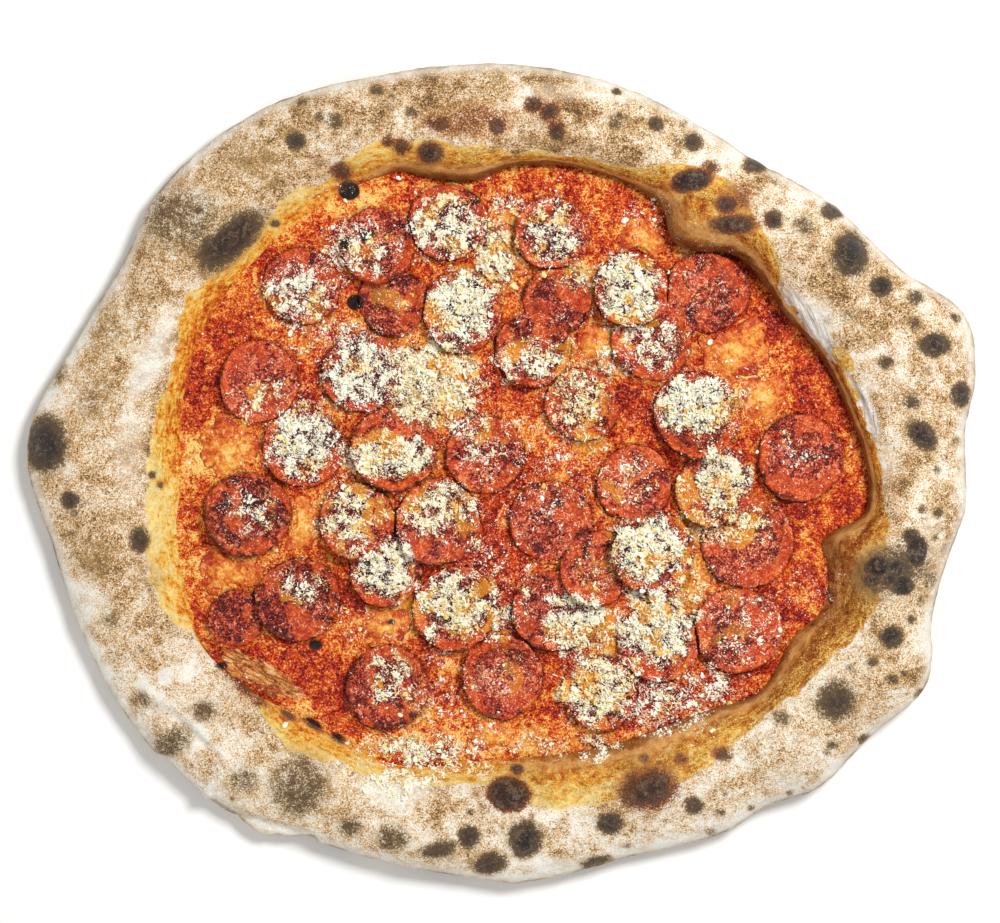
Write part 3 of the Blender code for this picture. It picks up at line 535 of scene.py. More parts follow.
def slice_underside(index, x, y):
    height = sauce_top(x, y) + GAP
    for other in BELOW[index]:
        out = share_out(other, x, y)
        over = slice_underside(other, x, y) + SLICE_THICKNESS + 2 * GAP
        ramp = np.where(out < DRAPE_END, smooth((DRAPE_END - out) / (DRAPE_END - DRAPE_FULL)), 0)
        height = np.maximum(height, blend(height, over, ramp))
    return height + rim_lift(index, x, y)


def slice_top(index, x, y):
    heap = mound(x, y) * smooth((1 - share_out(index, x, y)) / 0.3) * (1 - held_down(index, x, y))
    return slice_underside(index, x, y) + SLICE_THICKNESS + heap


def pool_reach(index, bearing):
    """How far a cheese pool runs along a bearing before it meets a slice or the rim."""
    centre_x, centre_y, widest = (value * MM for value in POOLS[index])
    widest = widest * (1 + 0.1 * np.cos(3 * bearing + index) + 0.06 * np.cos(5 * bearing))
    reach = np.full(np.shape(bearing), POOL_STEP)
    running = np.ones(np.shape(bearing), bool)
    for step in range(1, POOL_STEPS):
        travelled = step * POOL_STEP
        ahead = travelled + 3 * GAP
        x, y = centre_x + ahead * np.cos(bearing), centre_y + ahead * np.sin(bearing)
        away = np.array([np.hypot(x - px * MM, y - py * MM) for px, py, _ in POOLS])
        running &= np.hypot(x, y) / inner_foot(bearing_of(x, y)) <= 0.97
        running &= away[index] <= away.min(axis=0)
        for other in range(COUNT):
            running &= share_out(other, x, y) >= 1.04
        running &= travelled < widest
        reach = np.where(running, travelled, reach)
    return reach


def covered(x, y, by):
    """Where any of these slices lies over a place."""
    under = np.zeros(np.shape(x), bool)
    for index in by:
        under |= share_out(index, x, y) < 1.0
    return under


def freckles():
    """Small random scorch marks over the rim, more of them where it is browned."""
    draws = np.random.default_rng(41)
    found = []
    while len(found) < FRECKLE_COUNT:
        degrees, share, chance = draws.uniform(0, 360), draws.uniform(0, 1), draws.uniform(0, 1)
        size, darkness = draws.uniform(2.5, 7.0), draws.uniform(0.12, 0.42)
        if chance > 0.25 + brownness(degrees):
            continue
        reach = blend(oil_edge(degrees) + 2 * MM, outer_edge(degrees) - 3 * MM, share) / (UNIT * MM)
        across = MIDDLE_ACROSS + reach * math.cos(math.radians(degrees))
        down = MIDDLE_DOWN - reach * math.sin(math.radians(degrees))
        found.append((across, down, size, size * draws.uniform(0.7, 1), degrees, darkness, 0.1))
    return found


def marks_at(x, y, marks):
    """(darkness, blister height in metres) that scorch marks give each place."""
    dark, raised = np.zeros(x.shape), np.zeros(x.shape)
    for across, down, half_width, half_height, turn, darkness, blister in marks:
        middle_x, middle_y = spot(across, down)
        reach = SPREAD_OF_MARK * max(half_width, half_height) * UNIT * MM
        near = (np.abs(x - middle_x) < reach) & (np.abs(y - middle_y) < reach)
        if not near.any():
            continue
        away = oval(x[near], y[near], across, down, half_width, half_height, turn)
        halo = 0.8 if blister > 0.85 else 1.5
        dark[near] = np.maximum(dark[near], darkness * smooth((1 + halo / 2 - away) / halo))
        dome = np.clip(1 - (away * 0.85) ** 2, 0, None) ** 1.5
        height = blister * BLISTER_RISE * min(half_width, half_height) * UNIT * MM
        raised[near] = np.maximum(raised[near], height * dome)
    return dark, raised


def folded(x, y, folds):
    """How deep or high a set of folds is at a place."""
    depth = np.zeros(np.shape(x))
    for places, width, deep in folds:
        nearest = np.full(np.shape(x), 1.0)
        knots = [spot(*p) for p in places]
        for (ax, ay), (bx, by) in zip(knots, knots[1:]):
            length = math.hypot(bx - ax, by - ay)
            t = np.clip(((x - ax) * (bx - ax) + (y - ay) * (by - ay)) / length**2, 0, 1)
            nearest = np.minimum(nearest, np.hypot(x - ax - t * (bx - ax), y - ay - t * (by - ay)))
        depth = np.maximum(depth, deep * MM * np.exp(-((nearest / (width * MM)) ** 2)))
    return depth


def ovals_at(x, y, ovals, outermost, fade):
    """The most that any of these ovals gives a place: its strength inside, and 0 at the outermost share."""
    most = np.zeros(np.shape(x))
    for across, down, half_width, half_height, turn, *strength in ovals:
        away = oval(x, y, across, down, half_width, half_height, turn)
        most = np.maximum(most, math.prod(strength) * smooth((outermost - away) / fade))
    return most


def closed_sheet(x, y, z, fields):
    """A closed skin from grids [along, around] that run from a top middle to an underside middle."""
    along, around = x.shape
    points = np.stack([x - SHIFT_X, y - SHIFT_Y, z], axis=-1)
    vertices = np.vstack([points[0, :1], points[1:-1].reshape(-1, 3), points[-1, :1]])
    rows = along - 2
    grid = 1 + np.arange(rows * around).reshape(rows, around)
    after = np.roll(grid, -1, axis=1)
    quads = np.stack([grid[:-1], grid[1:], after[1:], after[:-1]], axis=-1).reshape(-1, 4)
    top = np.stack([np.zeros(around, int), grid[0], after[0]], axis=-1)
    bottom = np.stack([np.full(around, len(vertices) - 1), after[-1], grid[-1]], axis=-1)
    held = {}
    for name, values in fields.items():
        values = np.broadcast_to(values, (along, around))
        held[name] = np.concatenate([values[0, :1], values[1:-1].ravel(), values[-1, :1]])
    return vertices, [top, quads, bottom], held


def one_piece(name, skins):
    """One smooth mesh object from one or more closed skins."""
    vertices, faces, start = [], [], 0
    for points, groups, _ in skins:
        vertices.append(points)
        for group in groups:
            faces += (group + start).tolist()
        start += len(points)
    mesh = bpy.data.meshes.new(name)
    mesh.from_pydata(np.vstack(vertices).tolist(), [], faces)
    for field in skins[0][2]:
        values = np.concatenate([held[field] for _, _, held in skins]).astype(np.float32)
        mesh.attributes.new(field, "FLOAT", "POINT").data.foreach_set("value", values)
    mesh.shade_smooth()
    piece = bpy.data.objects.new(name, mesh)
    bpy.context.scene.collection.objects.link(piece)
    return piece


def push_out(x, y, z, amount):
    """Moves a grid along its own outward normals by amount."""
    points = np.stack([x, y, z], axis=-1)
    around = np.roll(points, -1, axis=1) - np.roll(points, 1, axis=1)
    along = np.gradient(points, axis=0)
    normal = np.cross(along, around)
    normal /= np.maximum(np.linalg.norm(normal, axis=-1, keepdims=True), 1e-12)
    moved = points + normal * amount[..., None]
    return moved[..., 0], moved[..., 1], moved[..., 2]


def rim_section(degrees):
    """The rim at a bearing: outer edge, inner foot, the crest's radius and height, the wall's steepness."""
    outer, foot, steep = outer_edge(degrees), inner_foot(degrees), wall_steepness(degrees)
    crest_radius = blend(foot, outer, blend(CREST_SHARE_GENTLE, CREST_SHARE_STEEP, steep))
    return outer, foot, crest_radius, crest_height(degrees), steep


def inner_slope(t, foot, crest_radius, steep):
    """Radius, and share of the rise, at a share t of the way up the rim's inner slope."""
    quarter = t * math.pi / 2
    wall_radius = blend(foot, crest_radius, 1 - np.cos(quarter)) - WALL_LEAN * steep * np.sin(math.pi * t)
    return blend(blend(foot, crest_radius, t), wall_radius, steep), blend(smooth(t), np.sin(quarter), steep)


def rim_grid():
    """The rim's surface at every bearing, in rows from the inner foot over the crest to the base."""
    bearing = np.arange(CRUST_AROUND) * 2 * math.pi / CRUST_AROUND
    outer, foot, crest_radius, crest, steep = rim_section(np.degrees(bearing))
    belly = crest * BELLY_SHARE
    radius, height, relief = [], [], []
    for t in np.linspace(0, 1, CRUST_SLOPE_ROWS, endpoint=False):
        slope_radius, rise = inner_slope(t, foot, crest_radius, steep)
        radius.append(slope_radius)
        height.append(blend(BASE_THICKNESS, crest, rise))
        relief.append(rise)
    for t in np.linspace(0, 1, CRUST_OUTSIDE_ROWS):
        quarter = t * math.pi / 2
        radius.append(blend(crest_radius, outer, math.sin(quarter)))
        height.append(blend(belly, crest, math.cos(quarter)))
        relief.append(np.full(CRUST_AROUND, math.cos(quarter)))
    for t in np.linspace(0, 1, CRUST_TUCK_ROWS)[1:]:
        quarter = t * math.pi / 2
        radius.append(outer - BASE_TUCK * (1 - math.cos(quarter)))
        height.append(belly * (1 - math.sin(quarter)))
        relief.append(np.zeros(CRUST_AROUND))
    radius = np.array(radius)
    x, y = radius * np.cos(bearing), radius * np.sin(bearing)
    roughness = swell(x, y) + RIM_ROUGHNESS * plain_ripple(x, y, RIM_ROUGHNESS_SCALE)
    return x, y, np.array(height) + np.array(relief) * roughness


def make_crust():
    """The dough: a fine rim with blisters, creases and a floury skin, over a thin flat base."""
    x, y, z = rim_grid()
    rows = np.arange(len(x))[:, None]
    skin = smooth(rows / 5) * smooth((len(x) - 1 - rows) / 10)
    dark, raised = marks_at(x, y, MARKS + freckles())
    top_share = smooth((z / MM - 2) / 7)
    puffs = 0.5 * ripple(x, y + z, 13 * MM, 3, 1.0) + 0.2 * ripple(x, y + z, 3.4 * MM, 3, 8.0)
    folds = folded(x, y, RIDGES) * smooth((z / MM - 4) / 4)
    relief_out = raised * top_share + folds - folded(x, y, CREASES) + puffs * MM * (0.35 + 0.65 * top_share)
    degrees, reach = bearing_of(x, y), np.hypot(x, y)
    edge_flour = 0.85 * smooth((reach - outer_edge(degrees) + FLOURY_BAND) / (6 * MM))
    flour = np.maximum(ovals_at(x, y, FLOUR, 1.3, 1.0), edge_flour)
    soak = oil_edge(degrees) + 2.2 * MM * ripple(x, y, 9 * MM, 3, 2.0) - reach
    oil = smooth(soak / (2.6 * MM) + 0.5) * (rows < CRUST_SLOPE_ROWS + CRUST_OUTSIDE_ROWS // 2)
    oil = np.maximum(oil, ovals_at(x, y, SPLASHES, 1.3, 0.5))
    foot = inner_foot(degrees)
    climb = np.clip((reach - foot) / np.maximum(oil_edge(degrees) - foot, 3 * MM), 0, 1.3)
    outside = smooth((rows - CRUST_SLOPE_ROWS - CRUST_OUTSIDE_ROWS * 0.72) / (CRUST_OUTSIDE_ROWS * 0.2))
    brown, golden, tanned = brownness(degrees), goldness(degrees), tannedness(degrees)
    thick, yellow = heaped(x, y)
    thick = thick * (z > 3 * MM) * (reach < oil_edge(degrees) + 6 * MM)
    wrinkled = ovals_at(x, y, WRINKLED, 1.25, 0.5)
    ruddy = ovals_at(x, y, RUDDY, 1.35, 0.8)
    dark = dark * smooth((z / MM - 1.5) / 3)
    x, y, z = push_out(x, y, z, skin * relief_out)
    z = np.maximum(z, 0.0)
    bearing = np.arctan2(y[:1], x[:1])
    turn_x, turn_y = np.cos(bearing) * np.ones_like(x), np.sin(bearing) * np.ones_like(x)
    inside = inner_foot(np.degrees(bearing))
    base = outer_edge(np.degrees(bearing)) - BASE_TUCK
    floor_rows = np.vstack([0 * inside, inside * 0.6])
    under_rows = np.vstack([base * share for share in (0.85, 0.6, 0.3, 0)])

    def all_rows(values, above, beneath):
        return np.vstack([np.full(floor_rows.shape, above), values, np.full(under_rows.shape, beneath)])

    all_x = np.vstack([floor_rows * np.cos(bearing), x, under_rows * np.cos(bearing)])
    all_y = np.vstack([floor_rows * np.sin(bearing), y, under_rows * np.sin(bearing)])
    # Each value, and what it is on the base above and beneath.
    given = {
        "burnt": (dark, 0, 0), "raised": (np.clip(raised / BLISTER_FULL, 0, 1), 0, 0),
        "flour": (flour, 0, 0.4), "oil": (oil, 1, 0), "climb": (climb, 0, 1), "brown": (brown, 0.5, 0.5),
        "golden": (golden, 0.5, 0.5), "tanned": (tanned, 0.5, 0.5),
        "underside": (outside * np.ones_like(x), 0, 1), "grated": (thick, 0, 0), "yellow": (yellow, 0, 0),
        "folds": (folds / MM, 0, 0), "steep": (wall_steepness(degrees), 0, 0), "reach": (reach, 0, 0),
        "wrinkled": (wrinkled, 0, 0), "ruddy": (ruddy, 0, 0), "turn_x": (turn_x, 0, 0),
        "turn_y": (turn_y, 0, 0),
    }
    fields = {name: all_rows(*values) for name, values in given.items()}
    return one_piece("pizza_crust", [closed_sheet(all_x, all_y, all_rows(z, BASE_THICKNESS, 0.0), fields)])


def sauce_shore(degrees):
    """How far out the sauce's surface runs into the rim's inner slope."""
    _, foot, crest_radius, crest, steep = rim_section(degrees)
    t = np.linspace(0, 0.4, 60)[:, None]
    height = blend(BASE_THICKNESS, crest, inner_slope(t, foot, crest_radius, steep)[1])
    first = np.argmax(height > SAUCE_EDGE_HEIGHT - 0.5 * MM, axis=0)
    radius = inner_slope(t[first, 0], foot, crest_radius, steep)[0]
    return np.maximum(radius, foot) + SAUCE_OVERLAP


def base_dust(x, y):
    """The sparse fine cheese that fell over nearly everything."""
    most = 0.035
    for across, down, half_width, half_height, strength in DUSTY:
        away = oval(x, y, across, down, half_width, half_height)
        most = np.maximum(most, strength * smooth((1.5 - away) / 1.2))
    return np.clip(most * (1 + 0.9 * ripple(x, y, 12 * MM, 3, 15.0)), 0.02, 0.5)


def make_sauce():
    """Tomato sauce over the base, lumpy with pulp and pulled up against each slice."""
    bearing = np.arange(SAUCE_AROUND) * 2 * math.pi / SAUCE_AROUND
    edge = sauce_shore(np.degrees(bearing))
    share = np.linspace(0, 1, SAUCE_RINGS)[:, None]
    x, y = share * edge * np.cos(bearing), share * edge * np.sin(bearing)
    near = np.full(x.shape, 9.0)
    for index in range(COUNT):
        near = np.minimum(near, np.abs(share_out(index, x, y) - 1) * place(index)[2] / MM)
    hidden = covered(x, y, range(COUNT))
    lumps = ripple(x, y, 8 * MM, 4, 6.0)
    pulp = np.clip(ripple(x, y, 2.6 * MM, 3, 9.0) - 0.05, 0, 1)
    climbing = smooth((ripple(x, y, 11 * MM, 2, 17.0) + 0.12) / 0.3)
    relief = 0.6 * lumps + 0.9 * pulp + (0.2 + 2.7 * climbing) * np.exp(-((near / 1.3) ** 2))
    flap = ovals_at(*warped(x, y, 1.6 * MM, 5 * MM, 70.0), FLAPS, 1.25, 0.45)
    folds = folded(x, y, RIDGES) + flap * MM * (0.7 + 1.2 * ripple(x, y, 4 * MM, 3, 77.0))
    dark, raised = marks_at(x, y, MARKS)
    outward = (share * edge - inner_foot(np.degrees(bearing))) / MM
    shore = smooth((outward + 1.5) / 2.5)
    z = sauce_top(x, y) + relief * MM * np.where(hidden, 0.0, 1.0) * (1 - shore) + raised + folds
    z -= SHORE_DROP * shore
    drift = 0.5 * ripple(x, y, 22 * MM, 3, 30.0) + 0.5 * ripple(x, y, 8 * MM, 3, 33.0)
    cheesy = np.full(x.shape, 0.22)
    for across, down, half_width, half_height, strength in MELTED:
        cheesy += strength * smooth(1.45 - oval(x, y, across, down, half_width, half_height))
    degrees = bearing_of(x, y) % 360
    reach = np.hypot(x, y) / inner_foot(degrees)
    fringe = smooth((reach + 0.15 * drift - 0.9) / 0.12)
    cheesy = np.clip(blend(cheesy, 0.2 + 0.8 * goldness(degrees), 0.7 * fringe) + 0.5 * drift, 0, 1.2)
    thick, yellow = heaped(x, y)
    thick = np.maximum(thick, base_dust(x, y))
    edge_rows = np.vstack([share[-1:] * edge, 0.6 * edge[None], 0 * edge[None]])

    def with_floor(values, beneath=0.0):
        return np.vstack([values, np.full(edge_rows.shape, beneath)])

    fields = {
        "cheesy": with_floor(cheesy), "burnt": with_floor(dark), "pale": with_floor(flap),
        "grated": with_floor(np.where(hidden, 0.0, thick)), "yellow": with_floor(yellow),
        # Painted shade on the sauce next to each slice's edge, less where the sauce climbs the slice.
        "beside": with_floor(np.exp(-((near / 1.4) ** 2)) * (1 - climbing)),
    }
    all_x = np.vstack([x, edge_rows * np.cos(bearing)])
    all_y = np.vstack([y, edge_rows * np.sin(bearing)])
    sheet = closed_sheet(all_x, all_y, with_floor(z, BASE_THICKNESS + GAP), fields)
    return one_piece("tomato_sauce", [sheet])


def slice_skin(index):
    """One slice of pepperoni: a thin cupped disc with a rounded, darker edge and a grainy face."""
    centre_x, centre_y, _ = place(index)
    bearing = np.arange(SLICE_AROUND) * 2 * math.pi / SLICE_AROUND
    notched = 1 + 0.009 * np.cos(8 * bearing + index * 1.3) + 0.007 * np.cos(13 * bearing + index * 2.9)
    edge = slice_edge(index, bearing) * notched
    waver_round = 0.45 * np.cos(3 * bearing + index * 1.7) + 0.3 * np.cos(5 * bearing + index * 2.3)
    waver_round += 0.18 * np.cos(9 * bearing + index * 3.1)

    def laid(share):
        x = centre_x + share * edge * np.cos(bearing)
        y = centre_y + share * edge * np.sin(bearing)
        waver = waver_round * MM * smooth((share - 0.55) / 0.45) * (1 - held_down(index, x, y))
        return x, y, waver

    share = np.concatenate([np.linspace(0, 0.93, SLICE_RINGS), [0.955, 0.975, 0.99, 1.0]])[:, None]
    x, y, waver = laid(share)
    round_off = SLICE_THICKNESS * 0.5 * (1 - np.sqrt(1 - ((share - 0.92) / 0.08).clip(0, 1) ** 2))
    grain = 0.2 * ripple(x, y, 2.0 * MM, 3, index) + 0.7 * ripple(x, y, 8 * MM, 2, index + 0.5)
    dark, raised = marks_at(x, y, MARKS)
    top = slice_top(index, x, y) + waver - round_off + grain * MM * smooth((1 - share) / 0.1) + raised
    under_share = np.array([0.99, 0.965, 0.93, 0.7, 0.4, 0.0])[:, None]
    under_x, under_y, under_waver = laid(under_share)
    rounding = np.array([0.27, 0.08, 0, 0, 0, 0])[:, None] * SLICE_THICKNESS
    under = slice_underside(index, under_x, under_y) + rounding + under_waver
    hidden = covered(x, y, ABOVE[index])
    thick, yellow = heaped(x, y)
    thick = np.maximum(thick * smooth((1.04 - share) / 0.06), base_dust(x, y))
    # Painted shade on the lower left side of each slice's edge, plus random browning around the edge.
    ring = 0.5 + 0.3 * np.cos(bearing - math.radians(225)) + 0.3 * np.cos(2 * bearing + index * 2.4)
    lift, heading = SLICES[index][3], math.radians(SLICES[index][4])
    cupped = (0.35 + 0.65 * (0.5 + 0.5 * np.cos(bearing - heading))) * lift / 4
    smear = smooth((ripple(x, y, 10 * MM, 3, 60.0) + 0.5 * share - 0.28) / 0.3) * (1 - 0.4 * cupped)

    def stacked(over, beneath=0.0):
        return np.vstack([np.broadcast_to(over, x.shape), np.broadcast_to(beneath, under_x.shape)])

    fields = {
        "out": stacked(share, under_share), "burnt": stacked(dark), "smear": stacked(smear),
        "grated": stacked(np.where(hidden, 0.0, thick)), "yellow": stacked(yellow),
        "baked": stacked(SLICES[index][5], SLICES[index][5]), "ring": stacked(ring, ring),
        "own": stacked(index * 0.37, index * 0.37), "cupped": stacked(cupped, cupped),
    }
    return closed_sheet(np.vstack([x, under_x]), np.vstack([y, under_y]), np.vstack([top, under]), fields)


def pool_skin(index):
    """One pool of melted cheese that settled between slices."""
    centre_x, centre_y = POOLS[index][0] * MM, POOLS[index][1] * MM
    bearing = np.arange(POOL_AROUND) * 2 * math.pi / POOL_AROUND
    reach = pool_reach(index, bearing)
    for _ in range(4):
        reach = (np.roll(reach, 1) + 2 * reach + np.roll(reach, -1)) / 4
    ragged = 0.1 * np.cos(4 * bearing + index) + 0.07 * np.cos(7 * bearing + 2 * index)
    reach = reach * (1.04 + ragged + 0.05 * np.cos(13 * bearing + 3 * index))
    share = np.linspace(0, 1, POOL_RINGS)[:, None]
    x = centre_x + share * reach * np.cos(bearing)
    y = centre_y + share * reach * np.sin(bearing)
    body = POOL_THICKNESS * (1 - smooth((share - 0.2) / 0.8))
    drops = 0.5 * ripple(x, y, 5 * MM, 3, index + 20.0) + 0.2 * ripple(x, y, 1.8 * MM, 2, index + 40.0)
    dark, raised = marks_at(x, y, MARKS)
    top = sauce_top(x, y) + GAP + body + mound(x, y) * smooth((1 - share) / 0.4)
    top += drops * MM * smooth((1 - share) / 0.25) + raised
    under_share = np.array([0.9, 0.5, 0.0])[:, None]
    under_x = centre_x + under_share * reach * np.cos(bearing)
    under_y = centre_y + under_share * reach * np.sin(bearing)
    thick, yellow = heaped(x, y)
    thick = np.maximum(thick, base_dust(x, y)) * smooth((1.02 - share) / 0.1)
    hidden = covered(x, y, range(COUNT))

    def stacked(over, beneath=0.0):
        return np.vstack([np.broadcast_to(over, x.shape), np.full(under_x.shape, beneath)])

    fields = {
        "out": stacked(share, 1.0), "burnt": stacked(dark),
        "grated": stacked(np.where(hidden, 0.0, thick)), "yellow": stacked(yellow),
    }
    under = sauce_top(under_x, under_y) - 0.2 * MM
    return closed_sheet(np.vstack([x, under_x]), np.vstack([y, under_y]), np.vstack([top, under]), fields)


def colour(red, green, blue):
    """A colour seen on screen, 0 to 255, as the light it stands for."""
    values = []
    for level in (red / 255, green / 255, blue / 255):
        values.append(level / 12.92 if level <= 0.04045 else ((level + 0.055) / 1.055) ** 2.4)
    return (*values, 1.0)


class Signal:
    """A value that runs through a node tree and takes arithmetic."""

    def __init__(self, owner, socket):
        self.owner = owner
        self.socket = socket

    def maths(self, operation, *values):
        return self.owner.node("ShaderNodeMath", {"operation": operation}, dict(enumerate(values)))

    def __add__(self, other):
        return self.maths("ADD", self, other)

    def __radd__(self, other):
        return self.maths("ADD", other, self)

    def __sub__(self, other):
        return self.maths("SUBTRACT", self, other)

    def __rsub__(self, other):
        return self.maths("SUBTRACT", other, self)

    def __mul__(self, other):
        return self.maths("MULTIPLY", self, other)

    def __rmul__(self, other):
        return self.maths("MULTIPLY", other, self)

    def __pow__(self, other):
        return self.maths("POWER", self, other)

    def size(self):
        """The value without its sign."""
        return self.maths("ABSOLUTE", self)

    def at_most(self, other):
        return self.maths("MINIMUM", self, other)

    def above(self, start, end):
        """Rises smoothly from 0 at start to 1 at end."""
        values = {0: self, 1: start, 2: end, 3: 0.0, 4: 1.0}
        return self.owner.node("ShaderNodeMapRange", {"interpolation_type": "SMOOTHSTEP"}, values)


class NodeTree:
    """A node tree that is written as calls of node()."""

    def node(self, kind, settings=None, inputs=None, output=0):
        """Adds a node of a kind with its settings, then its inputs as plain values or Signals."""
        made = self.tree.nodes.new(kind)
        for name, value in (settings or {}).items():
            if name == "stops":
                self.set_stops(made.color_ramp, value)
            else:
                setattr(made, name, value)
        for name, value in (inputs or {}).items():
            self.feed(made.inputs[name], value)
        return Signal(self, made.outputs[output])

    def feed(self, socket, value):
        if isinstance(value, Signal):
            self.tree.links.new(value.socket, socket)
        else:
            socket.default_value = value

    def set_stops(self, ramp, stops):
        while len(ramp.elements) < len(stops):
            ramp.elements.new(0.5)
        for element, (position, *shade) in zip(ramp.elements, stops):
            element.position = position
            element.color = colour(*shade)


class Finish(NodeTree):
    """A Principled material whose varying values are Signals."""

    def __init__(self, name):
        self.material = bpy.data.materials.new(name)
        self.material.use_nodes = True
        self.tree = self.material.node_tree
        self.shader = self.tree.nodes["Principled BSDF"]
        self.places = self.node("ShaderNodeTexCoord", output="Object")

    def field(self, name):
        """A value stored on the piece's mesh."""
        return self.node("ShaderNodeAttribute", {"attribute_name": name}, output="Fac")

    def cloud(self, scale, detail, rough, twist=0.0, places=None):
        """Soft random patches around 0, this many to the metre."""
        values = {"Vector": places or self.places, "Scale": scale, "Detail": detail, "Roughness": rough}
        values["Distortion"] = twist
        return self.node("ShaderNodeTexNoise", {}, values) - 0.5

    def cells(self, scale, places=None):
        """How far each place is from the nearest of randomly strewn points."""
        values = {"Vector": places or self.places, "Scale": scale}
        return self.node("ShaderNodeTexVoronoi", {}, values, output="Distance")

    def joined(self, x, y, z=0.0):
        """A place, or an offset, made of three values."""
        return self.node("ShaderNodeCombineXYZ", {}, {0: x, 1: y, 2: z})

    def ramp(self, signal, stops):
        """A colour for each value: stops are a value, then red, green and blue as seen on screen."""
        return self.node("ShaderNodeValToRGB", {"stops": stops}, {"Fac": signal}, output="Color")

    def mix(self, share, first, second):
        return self.node("ShaderNodeMix", {"data_type": "RGBA"}, {0: share, 6: first, 7: second}, output=2)

    def bump(self, height, distance, strength, after=None):
        values = {"Height": height, "Distance": distance, "Strength": strength}
        if after is not None:
            values["Normal"] = after
        return self.node("ShaderNodeBump", {}, values, output="Normal")

    def show(self, **sockets):
        """Sets the shader's own sockets, named with underscores for spaces."""
        for name, value in sockets.items():
            self.feed(self.shader.inputs[name.replace("_", " ")], value)
        return self.material


def dry_skin(finish, clouds, lines):
    """Colour of the dry crust, browned and floured in patches, and its hairline cracks."""
    mottle, patches, speckle, grit, hair = clouds
    flour = finish.field("flour")
    tone = 0.26 + mottle * 1.9 + patches * 1.2 + speckle * 0.9 + hair * 1.7 + grit * 3.0
    # The tone is made lighter on raised folds: a painted highlight along their tops.
    tone = tone + finish.field("tanned") * 0.26 - flour * 0.22 - finish.field("folds") * 0.12
    hairline = 1.0 - finish.cloud(330, 3, 0.55, 1.6).size().above(0.0, 0.035)
    cracks = 1.0 - finish.cloud(150, 3, 0.6, 2.2).size().above(0.0, 0.018)
    hairline = (hairline + cracks * 0.7) * (mottle + 0.5).above(0.3, 0.6)
    skin = finish.ramp(tone + hairline * 0.13, [
        (0.02, 255, 251, 239), (0.20, 250, 229, 196), (0.34, 241, 205, 154), (0.48, 228, 179, 120),
        (0.64, 194, 145, 88), (0.80, 144, 107, 64), (1.0, 98, 74, 48),
    ])
    dusted = (flour * 0.85 + speckle * 0.8 + hair * 1.2 + grit * 1.8 + patches * 0.6).above(0.45, 0.95)
    skin = finish.mix(dusted * 0.8, skin, colour(246, 240, 228))
    pale = finish.ramp(0.5 + lines * 2.6 + grit * 0.8, [
        (0.1, 176, 160, 142), (0.32, 226, 216, 200), (0.5, 248, 243, 234), (0.85, 255, 253, 248),
    ])
    return finish.mix(finish.field("wrinkled") * 0.85, skin, pale), hairline


def oily_slope(finish, clouds, round_x, round_y):
    """Colour of the rim's inner slope, where oil and cheese run down it in streaks, with painted glints and
    painted shade at the foot of its steep walls.
    """
    mottle, patches, speckle, grit, hair = clouds
    brown, climb, steep = (finish.field(name) for name in ("brown", "climb", "steep"))
    streak_places = finish.joined(round_x, round_y, climb * 2.6)
    streaks = finish.cloud(3.0, 4, 0.65, 0.5, streak_places)
    strands = finish.cloud(9.0, 4, 0.7, 0.8, streak_places)
    depth = 0.05 + climb * 0.5 + finish.field("golden") * 0.38 + streaks * 1.3 + strands * 1.0 + patches * 0.9
    depth = depth + speckle * 1.1 + grit * 0.8
    gold = finish.ramp(depth, [
        (0.05, 146, 38, 14), (0.24, 194, 72, 20), (0.40, 222, 118, 30), (0.54, 238, 158, 48),
        (0.70, 248, 194, 80), (0.95, 252, 226, 150),
    ])
    browned = (brown * 1.3 + mottle * 1.4 + speckle * 0.8 - 0.42).above(0.1, 0.9)
    gold = finish.mix(browned * 0.85, gold, finish.ramp(depth * 0.85 - 0.06 + grit * 1.6 + hair * 1.6, [
        (0.1, 84, 38, 16), (0.3, 138, 76, 30), (0.48, 180, 112, 42), (0.64, 214, 148, 56),
        (0.80, 242, 194, 92), (1.0, 252, 230, 170),
    ]))
    bits = (patches * 1.5 + speckle * 1.6 + hair * 0.6).above(0.26, 0.48)
    gold = finish.mix(bits * (0.15 + brown * 0.75), gold, colour(100, 46, 18))
    # Painted highlights: small bright golden glints on the oily slope.
    painted_glints = (grit * 2.6 + hair + streaks * 0.8).above(0.42, 0.62)
    gold = finish.mix(painted_glints * (0.35 + brown * 0.6), gold, colour(255, 226, 146))
    translucent = (steep * 1.5 - 0.55 + patches * 1.2) * (1.0 - climb.above(0.2, 0.5))
    wall = finish.ramp(0.5 + streaks * 1.2 + patches + grit, [
        (0.1, 142, 68, 22), (0.4, 206, 132, 56), (0.65, 234, 178, 98), (0.9, 250, 218, 152),
    ])
    gold = finish.mix(translucent.above(0.0, 0.5) * 0.85, gold, wall)
    # Painted shade at the foot of steep inner walls, darkest where the wall is steepest.
    gold = finish.mix((1.0 - climb.above(0.04, 0.17)) * steep * 0.75, gold, colour(112, 42, 18))
    lip = climb.above(0.12, 0.18) * (1.0 - climb.above(0.22, 0.32)) * steep
    return finish.mix((lip * 1.2 + strands * 1.4).above(0.4, 0.9) * 0.5, gold, colour(236, 176, 110))


